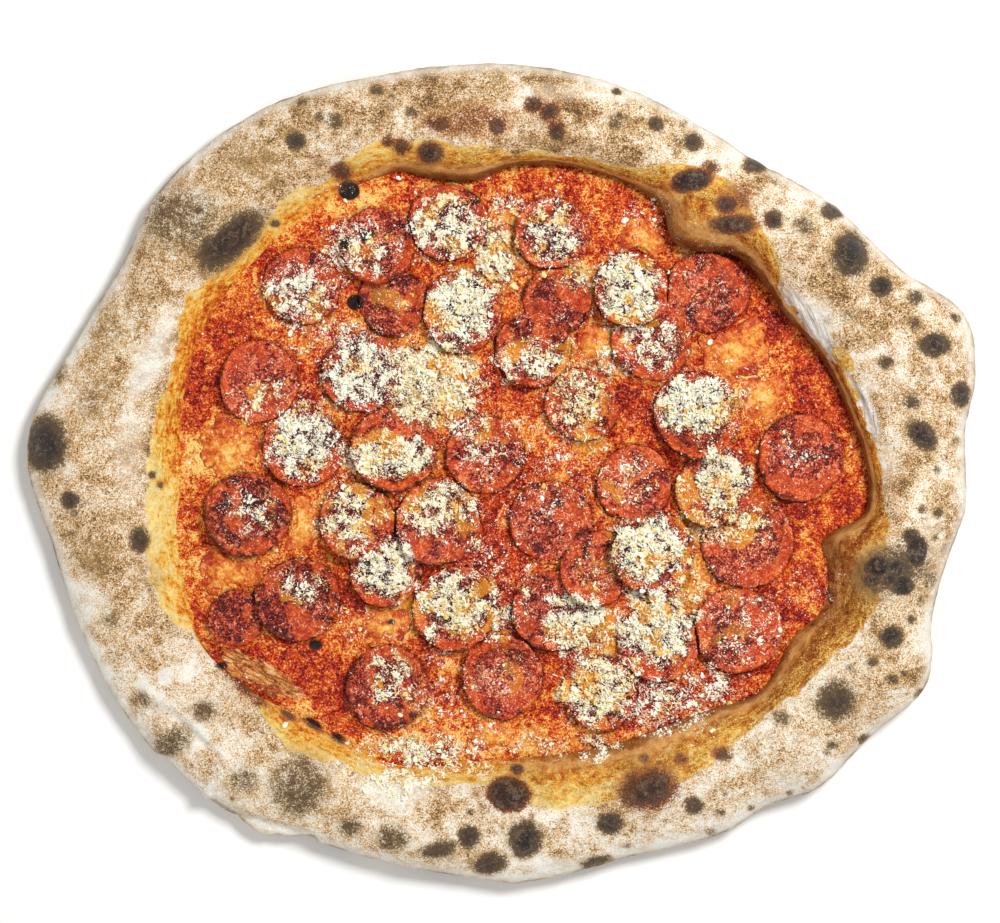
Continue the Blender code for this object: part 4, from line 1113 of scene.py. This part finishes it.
def scorched(finish, patches, speckle, grit, blotch):
    """Colour of the scorch marks, grey or ruddy, with painted highlights on the darkest char, and how burnt
    each place is.
    """
    burnt = finish.field("burnt")
    ragged = (patches * 0.5 + blotch * 0.7 + speckle * 0.5 + grit * 1.3) * burnt.above(0.0, 0.45)
    burn = burnt * 0.96 + ragged
    grey = finish.ramp(burn, [
        (0.05, 216, 182, 128), (0.22, 184, 149, 97), (0.38, 144, 113, 70), (0.52, 108, 86, 62),
        (0.66, 88, 72, 58), (0.86, 64, 55, 51), (1.0, 36, 33, 35),
    ])
    ruddy = finish.ramp(burn + grit * 0.6, [
        (0.05, 226, 162, 98), (0.22, 198, 132, 72), (0.38, 160, 98, 54), (0.52, 124, 74, 46),
        (0.66, 96, 60, 44), (0.86, 68, 48, 44), (1.0, 44, 36, 38),
    ])
    # Painted highlights: lighter grey-brown patches on the darkest char stand for light caught by its glossy
    # blisters.
    uneven_and_glints = (blotch * 2.6 + grit * 2.4 + speckle * 1.6).above(0.0, 0.42) * burn.above(0.6, 0.85)
    return finish.mix(uneven_and_glints * 0.7, finish.mix(finish.field("ruddy"), grey, ruddy), colour(150, 124, 98)), burn


def baked_dough():
    finish = Finish("baked_dough")
    mottle, patches, speckle, grit, hair = clouds = [
        finish.cloud(58, 5, 0.62, 0.5), finish.cloud(160, 4, 0.62, 0.6), finish.cloud(560, 4, 0.72),
        finish.cloud(1750, 3, 0.7), finish.cloud(900, 3, 0.6, 2.5),
    ]
    blotch = finish.cloud(260, 4, 0.7, 0.5)
    # Wrinkles and streaks follow the rim: they go by the bearing and by the way out or up.
    round_x, round_y = finish.field("turn_x") * 9.0, finish.field("turn_y") * 9.0
    line_places = finish.joined(round_x, round_y, finish.field("reach") * 1500.0)
    lines = finish.cloud(1.0, 2, 0.6, 0.3, line_places)
    dough, hairline = dry_skin(finish, clouds, lines)
    soaked = (finish.field("oil") + speckle * 1.2 + patches * 0.9).above(0.3, 0.75)
    dough = finish.mix(soaked, dough, oily_slope(finish, clouds, round_x, round_y))
    scorch, burn = scorched(finish, patches, speckle, grit, blotch)
    dough = finish.mix(burn.above(0.02, 0.45), dough, scorch)
    floor_side = finish.ramp(0.45 + mottle * 1.6 + patches * 1.2 + speckle * 0.9, [
        (0.2, 238, 218, 184), (0.45, 214, 178, 132), (0.62, 158, 116, 78), (0.8, 82, 64, 52),
    ])
    dough = finish.mix(finish.field("underside") * 0.85, dough, floor_side)
    burnt = finish.field("burnt")
    wet = 0.8 - soaked * 0.56 - burnt.above(0.45, 0.75) * (0.3 + finish.field("raised") * 0.5) + grit * 0.2
    bubbled = burnt.above(0.4, 0.8) * (blotch * 1.8 + speckle * 0.8)
    fine = speckle * 0.8 + hair * 0.5 + grit * 0.6 - hairline * 0.22 + lines * finish.field("wrinkled") * 1.2
    relief = finish.bump(patches + mottle * 0.5 + bubbled, 0.002, 0.6, finish.bump(fine, 0.0009, 0.85))
    return finish.show(Base_Color=dough, Roughness=wet, Normal=relief, Specular_IOR_Level=0.2)


def with_grated(finish, base, speckle):
    """Paints the finest grated cheese over a colour where it lies, and paints shade into the gaps in its
    heaps.
    """
    grated, yellow = finish.field("grated"), finish.field("yellow")
    clumps = finish.cloud(300, 3, 0.65)
    # Painted shade in the gaps between grains, deepest where the cheese lies thickest.
    base = finish.mix((grated * 1.1 - 0.25).above(0.0, 0.9) * 0.88, base, colour(50, 18, 10))
    melted = yellow.above(0.7, 0.95) * grated.above(0.12, 0.45)
    base = finish.mix(melted * 0.65, base, colour(232, 146, 36))
    cover = (grated * 0.4 + speckle * 2.2 + clumps * 0.9).above(0.37, 0.48)
    cream = finish.mix(yellow.above(0.2, 1.0), colour(251, 245, 226), colour(242, 182, 72))
    cream = finish.mix(grated.above(0.1, 0.6), colour(234, 174, 140), cream)
    return finish.mix(cover * 0.85, base, cream), cover


def tomato_sauce():
    finish = Finish("tomato_sauce")
    cheesy, burnt = finish.field("cheesy"), finish.field("burnt")
    drift = finish.cloud(70, 5, 0.62, 0.9)
    streaks = finish.cloud(200, 4, 0.65, 1.4)
    pulp = finish.cloud(520, 4, 0.68, 0.6)
    grit = finish.cloud(1400, 3, 0.72)
    tone = 0.3 + drift * 1.2 + streaks * 1.6 + pulp * 1.5 + grit * 2.4 + cheesy * 0.43
    red = finish.ramp(tone, [
        (0.05, 96, 10, 4), (0.22, 158, 24, 8), (0.36, 192, 44, 12),
        (0.50, 210, 76, 20), (0.64, 226, 114, 30), (0.80, 244, 166, 60),
        (1.0, 252, 212, 126),
    ])
    # Painted shade beside the slices, together with darker streaks and patches of the sauce itself.
    painted_shade_and_dark_streaks = (finish.field("beside") * 0.7 + streaks * 1.6 + drift * 1.6).above(0.42, 0.95)
    red = finish.mix(painted_shade_and_dark_streaks * 0.7, red, colour(78, 14, 6))
    bits = finish.cells(240).above(0.26, 0.14) * drift.above(-0.02, 0.06)
    red = finish.mix(bits * 0.7, red, colour(206, 34, 18))
    right = finish.node("ShaderNodeSeparateXYZ", {}, {0: finish.places}, output="X")
    back = finish.node("ShaderNodeSeparateXYZ", {}, {0: finish.places}, output="Y")
    flap_places = finish.joined(right * 110.0 - back * 56.0, right * 200.0 + back * 390.0)
    wrinkles = finish.cloud(1.0, 4, 0.65, 1.8, flap_places)
    flap = finish.ramp(0.5 + wrinkles * 2.6 + grit * 0.8, [
        (0.1, 88, 38, 18), (0.34, 150, 78, 36), (0.54, 208, 132, 62),
        (0.74, 238, 182, 112), (1.0, 250, 224, 176),
    ])
    torn = (finish.field("pale") * 1.1 + wrinkles * 2.0 + streaks * 0.8).above(0.35, 0.95)
    red = finish.mix(torn * 0.85, red, flap)
    red, cover = with_grated(finish, red, grit + pulp * 0.6)
    charred = (burnt * (1.0 + pulp + grit)).above(0.4, 0.7)
    red = finish.mix(charred, red, colour(38, 28, 26))
    wet = 0.26 + grit * 0.4 + cover * 0.4 - charred * 0.14
    relief = finish.bump(streaks + drift * 0.6, 0.0015, 0.6, finish.bump(pulp * 0.9 + grit * 0.6, 0.001, 0.8))
    return finish.show(Base_Color=red, Roughness=wet, Normal=relief, Specular_IOR_Level=0.22)


def melted_cheese():
    finish = Finish("melted_cheese")
    out, burnt = finish.field("out"), finish.field("burnt")
    drift = finish.cloud(110, 4, 0.62, 0.7)
    streaks = finish.cloud(300, 4, 0.68, 1.2)
    grit = finish.cloud(1300, 3, 0.72)
    tone = 0.6 + drift * 1.5 + streaks * 1.6 + grit * 0.9 - out * out * 0.34
    cheese = finish.ramp(tone, [
        (0.08, 160, 40, 12), (0.26, 196, 76, 22), (0.42, 214, 112, 34),
        (0.58, 228, 146, 54), (0.76, 240, 180, 82), (0.95, 248, 214, 136),
    ])
    pits = finish.cells(210).above(0.26, 0.12) * streaks.above(0.0, 0.08)
    cheese = finish.mix(pits * 0.75, cheese, colour(124, 60, 26))
    cheese, cover = with_grated(finish, cheese, grit + streaks * 0.6)
    charred = (burnt * (1.0 + streaks + grit)).above(0.4, 0.7)
    cheese = finish.mix(charred, cheese, colour(60, 38, 26))
    fine = finish.bump(streaks * 0.8 + grit * 0.5, 0.0009, 0.7)
    wet = 0.32 + grit * 0.35 + cover * 0.35
    return finish.show(Base_Color=cheese, Roughness=wet, Normal=fine, Specular_IOR_Level=0.25)


def pepperoni():
    finish = Finish("pepperoni")
    out, burnt, baked = finish.field("out"), finish.field("burnt"), finish.field("baked")
    ring, cupped, smear = finish.field("ring"), finish.field("cupped"), finish.field("smear")
    # Each slice reads its own part of the pattern.
    apart = finish.joined(0.0, 0.0, finish.field("own"))
    places = finish.node("ShaderNodeVectorMath", {"operation": "ADD"}, {0: finish.places, 1: apart})
    drift = finish.cloud(95, 4, 0.62, 0.5, places)
    mince = finish.cloud(400, 4, 0.68, 0.7, places)
    grit = finish.cloud(1400, 3, 0.72, 0.0, places)
    tone = 0.54 + drift * 1.2 + mince * 1.8 + grit * 3.0 - baked * 0.42
    meat = finish.ramp(tone, [
        (0.05, 52, 8, 6), (0.20, 102, 20, 14), (0.34, 150, 38, 24),
        (0.48, 184, 56, 32), (0.64, 210, 90, 56), (0.86, 238, 150, 108),
    ])
    fat = finish.cells(380, places=places).above(0.38, 0.16) * mince.above(-0.04, 0.05)
    meat = finish.mix(fat * 0.5, meat, colour(234, 160, 118))
    oil = finish.ramp(mince + grit * 0.6 + 0.5, [
        (0.3, 168, 40, 14), (0.5, 208, 74, 26), (0.7, 238, 128, 54),
    ])
    meat = finish.mix((smear + drift * 0.8).above(0.2, 0.8) * 0.7, meat, oil)
    # Oily orange on the cup's inner wall, strongest on its higher side: partly oil gathered there, partly a
    # painted glow of light on that wall.
    wall = out.above(0.68, 0.84) * (1.0 - out.above(0.93, 0.98)) * cupped
    meat = finish.mix((wall + mince * 1.6 + drift * 1.8).above(0.25, 1.05) * 0.9, meat, oil)
    # Painted shade: a dark band inside each cup below its raised rim, strongest on its higher side and broken
    # up by the meat's own patches.
    cup_shade_band = out.above(0.36, 0.66) * (1.0 - out.above(0.66, 0.88)) * cupped
    painted_cup_shade = (cup_shade_band + mince + drift * 1.8 - 0.1).above(0.25, 0.95)
    meat = finish.mix(painted_cup_shade * 0.6, meat, colour(92, 24, 10))
    # Dark rim: browned meat at the very edge and on baked slices, with painted shade added on each slice's
    # lower left side.
    edge = (out - 0.95) * 9.0 + mince * 1.8 + (ring - 0.5) * 1.5 + baked * 0.4 - smear * 0.9
    meat = finish.mix(edge.above(0.15, 0.95) * 0.62, meat, colour(88, 24, 10))
    meat, cover = with_grated(finish, meat, grit + mince * 0.6)
    charred = (burnt * (1.0 + mince + grit)).above(0.4, 0.7)
    meat = finish.mix(charred, meat, colour(36, 24, 22))
    fine = finish.bump(mince * 0.9 + grit * 0.6, 0.0009, 0.8)
    wet = 0.22 + grit * 0.5 + cover * 0.35 - charred * 0.1
    return finish.show(Base_Color=meat, Roughness=wet, Normal=fine, Specular_IOR_Level=0.22)


def grated_cheese(name):
    finish = Finish(name)
    crumbly = finish.cloud(1400, 2, 0.6)
    shade = finish.ramp(finish.field("tint") + crumbly * 0.2, [
        (0.0, 254, 251, 238), (0.34, 252, 244, 216), (0.5, 249, 230, 170),
        (0.68, 248, 216, 130), (0.86, 242, 180, 70), (1.0, 228, 132, 44),
    ])
    return finish.show(Base_Color=shade, Roughness=0.6, Normal=finish.bump(crumbly, 0.0004, 0.4))


class Scatter(NodeTree):
    """Geometry Nodes that strew one kind of grain over a bed."""

    def __init__(self, name):
        self.tree = bpy.data.node_groups.new(name, "GeometryNodeTree")
        face = self.tree.interface
        face.new_socket("Bed", in_out="INPUT", socket_type="NodeSocketGeometry")
        for label in AMOUNTS:
            kind = "NodeSocketInt" if label == "Seed" else "NodeSocketFloat"
            face.new_socket(label, in_out="INPUT", socket_type=kind)
        face.new_socket("Strewn", in_out="OUTPUT", socket_type="NodeSocketGeometry")
        self.given = self.tree.nodes.new("NodeGroupInput")
        self.result = self.tree.nodes.new("NodeGroupOutput")

    def value(self, label):
        return Signal(self, self.given.outputs[label])

    def stored(self, name):
        """A value stored on the bed."""
        return self.node("GeometryNodeInputNamedAttribute", {"data_type": "FLOAT"}, {"Name": name})

    def chance(self, low, high, salt):
        """A number between low and high, drawn afresh for each grain; each salt gives other draws."""
        values = {2: low, 3: high, "Seed": self.value("Seed") + salt}
        return self.node("FunctionNodeRandomValue", {"data_type": "FLOAT"}, values, output=1)

    def vector(self, x, y, z):
        return self.node("ShaderNodeCombineXYZ", {}, {0: x, 1: y, 2: z})

    def strew(self, grain, stretch, material):
        """Places grain where the bed's 'scatter' value is high, stretched by three factor ranges."""
        density = self.stored("scatter") ** self.value("Gathering") * self.value("Grains per square metre")
        points = self.node("GeometryNodeDistributePointsOnFaces", {"distribute_method": "RANDOM"}, {
            "Mesh": self.value("Bed"), "Density": density, "Seed": self.value("Seed"),
        })
        heap = self.stored("grated") * self.value("Heap height")
        rise = self.vector(0.0, 0.0, heap * self.chance(0.0, 1.0, 11))
        lifted = self.node("GeometryNodeSetPosition", {}, {"Geometry": points, "Offset": rise})
        # Small grains are far more common than large ones.
        smallest, draw = self.value("Smallest"), self.chance(0.0, 1.0, 21)
        size = smallest + (self.value("Largest") - smallest) * (draw * (draw * draw))
        thick = self.stored("scatter").at_most(1.0)
        size = size * (thick * 0.45 + 0.55)
        scale = self.vector(*[size * self.chance(*ends, 31 + way) for way, ends in enumerate(stretch)])
        lean = self.value("Lean")
        tilts = [self.chance(lean * -1.0, lean, salt) for salt in (41, 42)]
        turn = self.vector(*tilts, self.chance(-math.pi, math.pi, 43))
        laid = self.node("GeometryNodeInstanceOnPoints", {}, {
            "Points": lifted, "Instance": grain, "Rotation": turn, "Scale": scale,
        })
        # A few grains are yellow anywhere, and most are where the cheese lies yellow.
        hue = self.chance(0.0, 1.0, 51)
        squared = hue * hue
        tint = self.stored("yellow") * (hue * 0.62 + 0.2) + squared * squared * 0.6
        settings = {"data_type": "FLOAT", "domain": "INSTANCE"}
        values = {"Geometry": laid, "Name": "tint", "Value": tint}
        tinted = self.node("GeometryNodeStoreNamedAttribute", settings, values)
        real = self.node("GeometryNodeRealizeInstances", {}, {"Geometry": tinted})
        done = self.node("GeometryNodeSetMaterial", {}, {"Geometry": real, "Material": material})
        self.feed(self.result.inputs[0], done)
        return self.tree


def roughened(scatter, shape, fineness, amount):
    """Pushes a simple shape's points in and out, so that it looks broken rather than turned."""
    lumps = scatter.node("ShaderNodeTexNoise", {}, {"Scale": fineness})
    outward = scatter.node("GeometryNodeInputPosition")
    values = {0: outward, "Scale": lumps * (2 * amount) - amount}
    push = scatter.node("ShaderNodeVectorMath", {"operation": "SCALE"}, values)
    return scatter.node("GeometryNodeSetPosition", {}, {"Geometry": shape, "Offset": push})


def ball(scatter, segments, rings):
    return scatter.node("GeometryNodeMeshUVSphere", {}, {"Segments": segments, "Rings": rings, "Radius": 0.5})


def speck_shape(scatter):
    """A four-faced speck."""
    values = {"Vertices": 3, "Radius Top": 0.0, "Radius Bottom": 0.6, "Depth": 0.9}
    return scatter.node("GeometryNodeMeshCone", {"fill_type": "NGON"}, values)


def grain_shape(scatter):
    return roughened(scatter, ball(scatter, 4, 2), 2.3, 0.6)


def lump_shape(scatter):
    return roughened(scatter, ball(scatter, 5, 3), 2.1, 0.7)


def crumb_shape(scatter):
    return roughened(scatter, ball(scatter, 8, 4), 3.4, 1.1)


def shred_shape(scatter):
    """A thin strip with a slight arch."""
    strip = scatter.node("GeometryNodeMeshCube", {}, {"Size": (1.0, 1.0, 1.0), "Vertices X": 3})
    along = scatter.node("ShaderNodeSeparateXYZ", {}, {0: scatter.node("GeometryNodeInputPosition")})
    arch = scatter.vector(0.0, 0.0, along * along * -0.9)
    return scatter.node("GeometryNodeSetPosition", {}, {"Geometry": strip, "Offset": arch})


# Name, shape, how it is stretched each way, then the amounts in the order of AMOUNTS.
GRATED = [
    ("grated_cheese_dust", speck_shape, [(0.7, 1.6), (0.6, 1.1), (0.6, 1.1)],
     2.9e6, 1.0, 0.3 * MM, 0.8 * MM, 1.5 * MM, 3.1, 3),
    ("grated_cheese_grains", grain_shape, [(0.9, 2.2), (0.5, 0.95), (0.4, 0.8)],
     1.86e6, 1.4, 0.6 * MM, 1.3 * MM, 1.6 * MM, 1.2, 5),
    ("grated_cheese_lumps", lump_shape, [(0.8, 1.9), (0.6, 1.1), (0.5, 0.8)],
     0.86e6, 2.0, 0.8 * MM, 1.9 * MM, 1.7 * MM, 0.9, 7),
    ("grated_cheese_shreds", shred_shape, [(0.7, 1.3), (0.14, 0.26), (0.12, 0.2)],
     5.2e5, 1.7, 1.2 * MM, 2.8 * MM, 1.9 * MM, 0.5, 9),
    ("grated_cheese_crumbs", crumb_shape, [(0.8, 1.3), (0.7, 1.0), (0.5, 0.75)],
     3.4e4, 1.4, 1.6 * MM, 3.6 * MM, 1.0 * MM, 0.6, 13),
]


def joined_bed(pieces):
    """One mesh of all that grated cheese lies on, with where it lies."""
    bed = bpy.data.meshes.new("bed")
    vertices, faces, fields, start = [], [], {"grated": [], "yellow": []}, 0
    for piece in pieces:
        mesh = piece.data
        count = len(mesh.vertices)
        points = np.empty(count * 3, np.float32)
        mesh.vertices.foreach_get("co", points)
        vertices.append(points.reshape(-1, 3))
        mesh.calc_loop_triangles()
        corners = np.empty(len(mesh.loop_triangles) * 3, np.int32)
        mesh.loop_triangles.foreach_get("vertices", corners)
        faces.append(corners.reshape(-1, 3) + start)
        for name, values in fields.items():
            held = np.empty(count, np.float32)
            mesh.attributes[name].data.foreach_get("value", held)
            values.append(held)
        start += count
    vertices = np.vstack(vertices)
    faces = np.vstack(faces)
    grated, yellow = np.concatenate(fields["grated"]), np.concatenate(fields["yellow"])
    # Only faces that look up and carry cheese take grains.
    a, b, c = vertices[faces[:, 0]], vertices[faces[:, 1]], vertices[faces[:, 2]]
    up = np.cross(b - a, c - a)
    up = up[:, 2] / np.maximum(np.linalg.norm(up, axis=1), 1e-12)
    kept = (up > LEAST_UP) & (grated[faces].min(axis=1) > LEAST_GRATED)
    bed.from_pydata(vertices.tolist(), [], faces[kept].tolist())
    patchy = ripple(vertices[:, 0], vertices[:, 1], 4.0 * MM, 3, 12.0)
    strewn = np.clip(grated * (1 + 2.2 * patchy), 0, 1.3)
    for name, values in (("grated", grated), ("yellow", yellow), ("scatter", strewn)):
        bed.attributes.new(name, "FLOAT", "POINT").data.foreach_set("value", values.astype(np.float32))
    return bed


def lone_crumbs(bed):
    """Single larger crumbs that lie apart from the heaps, each sunk a little in what is under it."""
    draws = np.random.default_rng(23)
    around, rings = 14, 10
    points = np.empty(len(bed.vertices) * 3, np.float32)
    bed.vertices.foreach_get("co", points)
    points = points.reshape(-1, 3)
    turn = np.linspace(0, math.pi, rings)[:, None]
    bearing = np.arange(around) * 2 * math.pi / around
    skins = []
    for across, down, width in LONE_CRUMBS:
        x, y = spot(across, down)
        away = np.hypot(points[:, 0] + SHIFT_X - x, points[:, 1] + SHIFT_Y - y)
        ground = points[away < away.min() + 0.6 * MM, 2].max()
        radius = 0.5 * width * UNIT * MM
        long, wide, tall = radius * draws.uniform(1, 1.3), radius * draws.uniform(0.7, 0.9), radius * 0.7
        heading = draws.uniform(0, math.pi)
        side, up = np.sin(turn), np.cos(turn) + 0 * bearing
        round_x, round_y = side * np.cos(bearing), side * np.sin(bearing)
        uneven_and_glints = 1 + 0.35 * ripple(3 * round_x, 3 * round_y + 2 * up, 1.6, 3, across)
        uneven_and_glints[0], uneven_and_glints[-1] = uneven_and_glints[0, 0], uneven_and_glints[-1, 0]
        along, aside = long * uneven_and_glints * round_x, wide * uneven_and_glints * round_y
        crumb_x = x + along * math.cos(heading) - aside * math.sin(heading)
        crumb_y = y + along * math.sin(heading) + aside * math.cos(heading)
        height = ground + tall * (0.6 + up * uneven_and_glints)
        skins.append(closed_sheet(crumb_x, crumb_y, height, {"tint": draws.uniform(0.05, 0.45)}))
    return one_piece("grated_cheese_lone_crumbs", skins)


def strewn_piece(name, bed, shape, stretch, amounts):
    """A plain mesh of one kind of grated cheese over the bed."""
    scatter = Scatter(name)
    tree = scatter.strew(shape(scatter), stretch, grated_cheese(name))
    piece = bpy.data.objects.new(name, bed)
    bpy.context.scene.collection.objects.link(piece)
    modifier = piece.modifiers.new("strewn", "NODES")
    modifier.node_group = tree
    given = dict(zip(AMOUNTS, amounts))
    for socket in tree.interface.items_tree:
        if socket.in_out == "INPUT" and socket.name in given:
            modifier[socket.identifier] = given[socket.name]
    bpy.context.view_layer.update()
    ready = piece.evaluated_get(bpy.context.evaluated_depsgraph_get())
    mesh = bpy.data.meshes.new_from_object(ready)
    mesh.name = name
    piece.modifiers.clear()
    piece.data = mesh
    return piece


def dress(piece, material, slot, *nodes):
    """Gives a piece its finish, puts it on the body and hides the solids it replaces."""
    if material is not None:
        piece.data.materials.clear()
        piece.data.materials.append(material)
    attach(piece, "root")
    if nodes:
        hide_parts(*nodes)


def make_floor():
    floor_mesh = bpy.data.meshes.new("floor")
    corners = [(-FLOOR, -FLOOR, 0), (FLOOR, -FLOOR, 0), (FLOOR, FLOOR, 0), (-FLOOR, FLOOR, 0)]
    floor_mesh.from_pydata(corners, [], [(0, 1, 2, 3)])
    floor = bpy.data.objects.new("floor", floor_mesh)
    bpy.context.scene.collection.objects.link(floor)
    paint = Finish("floor")
    floor_mesh.materials.append(paint.show(Base_Color=(0.9, 0.9, 0.89, 1), Roughness=0.9))


def make_lights():
    world = bpy.data.worlds.new("room")
    world.use_nodes = True
    background = world.node_tree.nodes["Background"].inputs
    background["Color"].default_value = (1, 1, 1, 1)
    background["Strength"].default_value = ROOM_LIGHT
    bpy.context.scene.world = world
    for name, place_at, size, power in LAMPS:
        data = bpy.data.lights.new(name, "AREA")
        data.shape = "DISK"
        data.size = size
        data.energy = power
        lamp = bpy.data.objects.new(name, data)
        lamp.location = place_at
        lamp.rotation_euler = (-Vector(place_at)).to_track_quat("-Z", "Y").to_euler()
        bpy.context.scene.collection.objects.link(lamp)


def make_camera():
    data = bpy.data.cameras.new("camera")
    data.lens = CAMERA_LENS
    data.sensor_width = CAMERA_SENSOR
    camera = bpy.data.objects.new("camera", data)
    middle_x, middle_y = spot(*PICTURE_MIDDLE)
    height = PICTURE_WIDTH * UNIT * MM * CAMERA_LENS / CAMERA_SENSOR + TOPPING_HEIGHT
    camera.location = (middle_x - SHIFT_X, middle_y - SHIFT_Y, height)
    bpy.context.scene.collection.objects.link(camera)
    bpy.context.scene.camera = camera
    bpy.context.scene.view_settings.view_transform = "Standard"


crust = make_crust()
sauce = make_sauce()
cheese_pools = one_piece("melted_cheese_pools", [pool_skin(index) for index in range(len(POOLS))])
lower_slices = one_piece("pepperoni_lower_slices", [slice_skin(index) for index in range(HALF)])
upper_slices = one_piece("pepperoni_upper_slices", [slice_skin(index) for index in range(HALF, COUNT)])

slice_nodes = [f"pepperoni_{index + 1:02d}" for index in range(COUNT)]
pool_nodes = [f"melted_cheese_{index + 1:02d}" for index in range(len(POOLS))]
meat_finish = pepperoni()
dress(crust, baked_dough(), "baked_dough", "crust")
dress(sauce, tomato_sauce(), "tomato_sauce", "sauce")
dress(cheese_pools, melted_cheese(), "melted_cheese", *pool_nodes)
dress(lower_slices, meat_finish, "pepperoni", *slice_nodes[:HALF])
dress(upper_slices, meat_finish, "pepperoni", *slice_nodes[HALF:])

bed = joined_bed([crust, sauce, cheese_pools, lower_slices, upper_slices])
for name, shape, stretch, *amounts in GRATED:
    dress(strewn_piece(name, bed, shape, stretch, amounts), None, "grated_cheese")

dress(lone_crumbs(bed), grated_cheese("grated_cheese_lone_crumbs"), "grated_cheese")

make_floor()
make_lights()
make_camera()
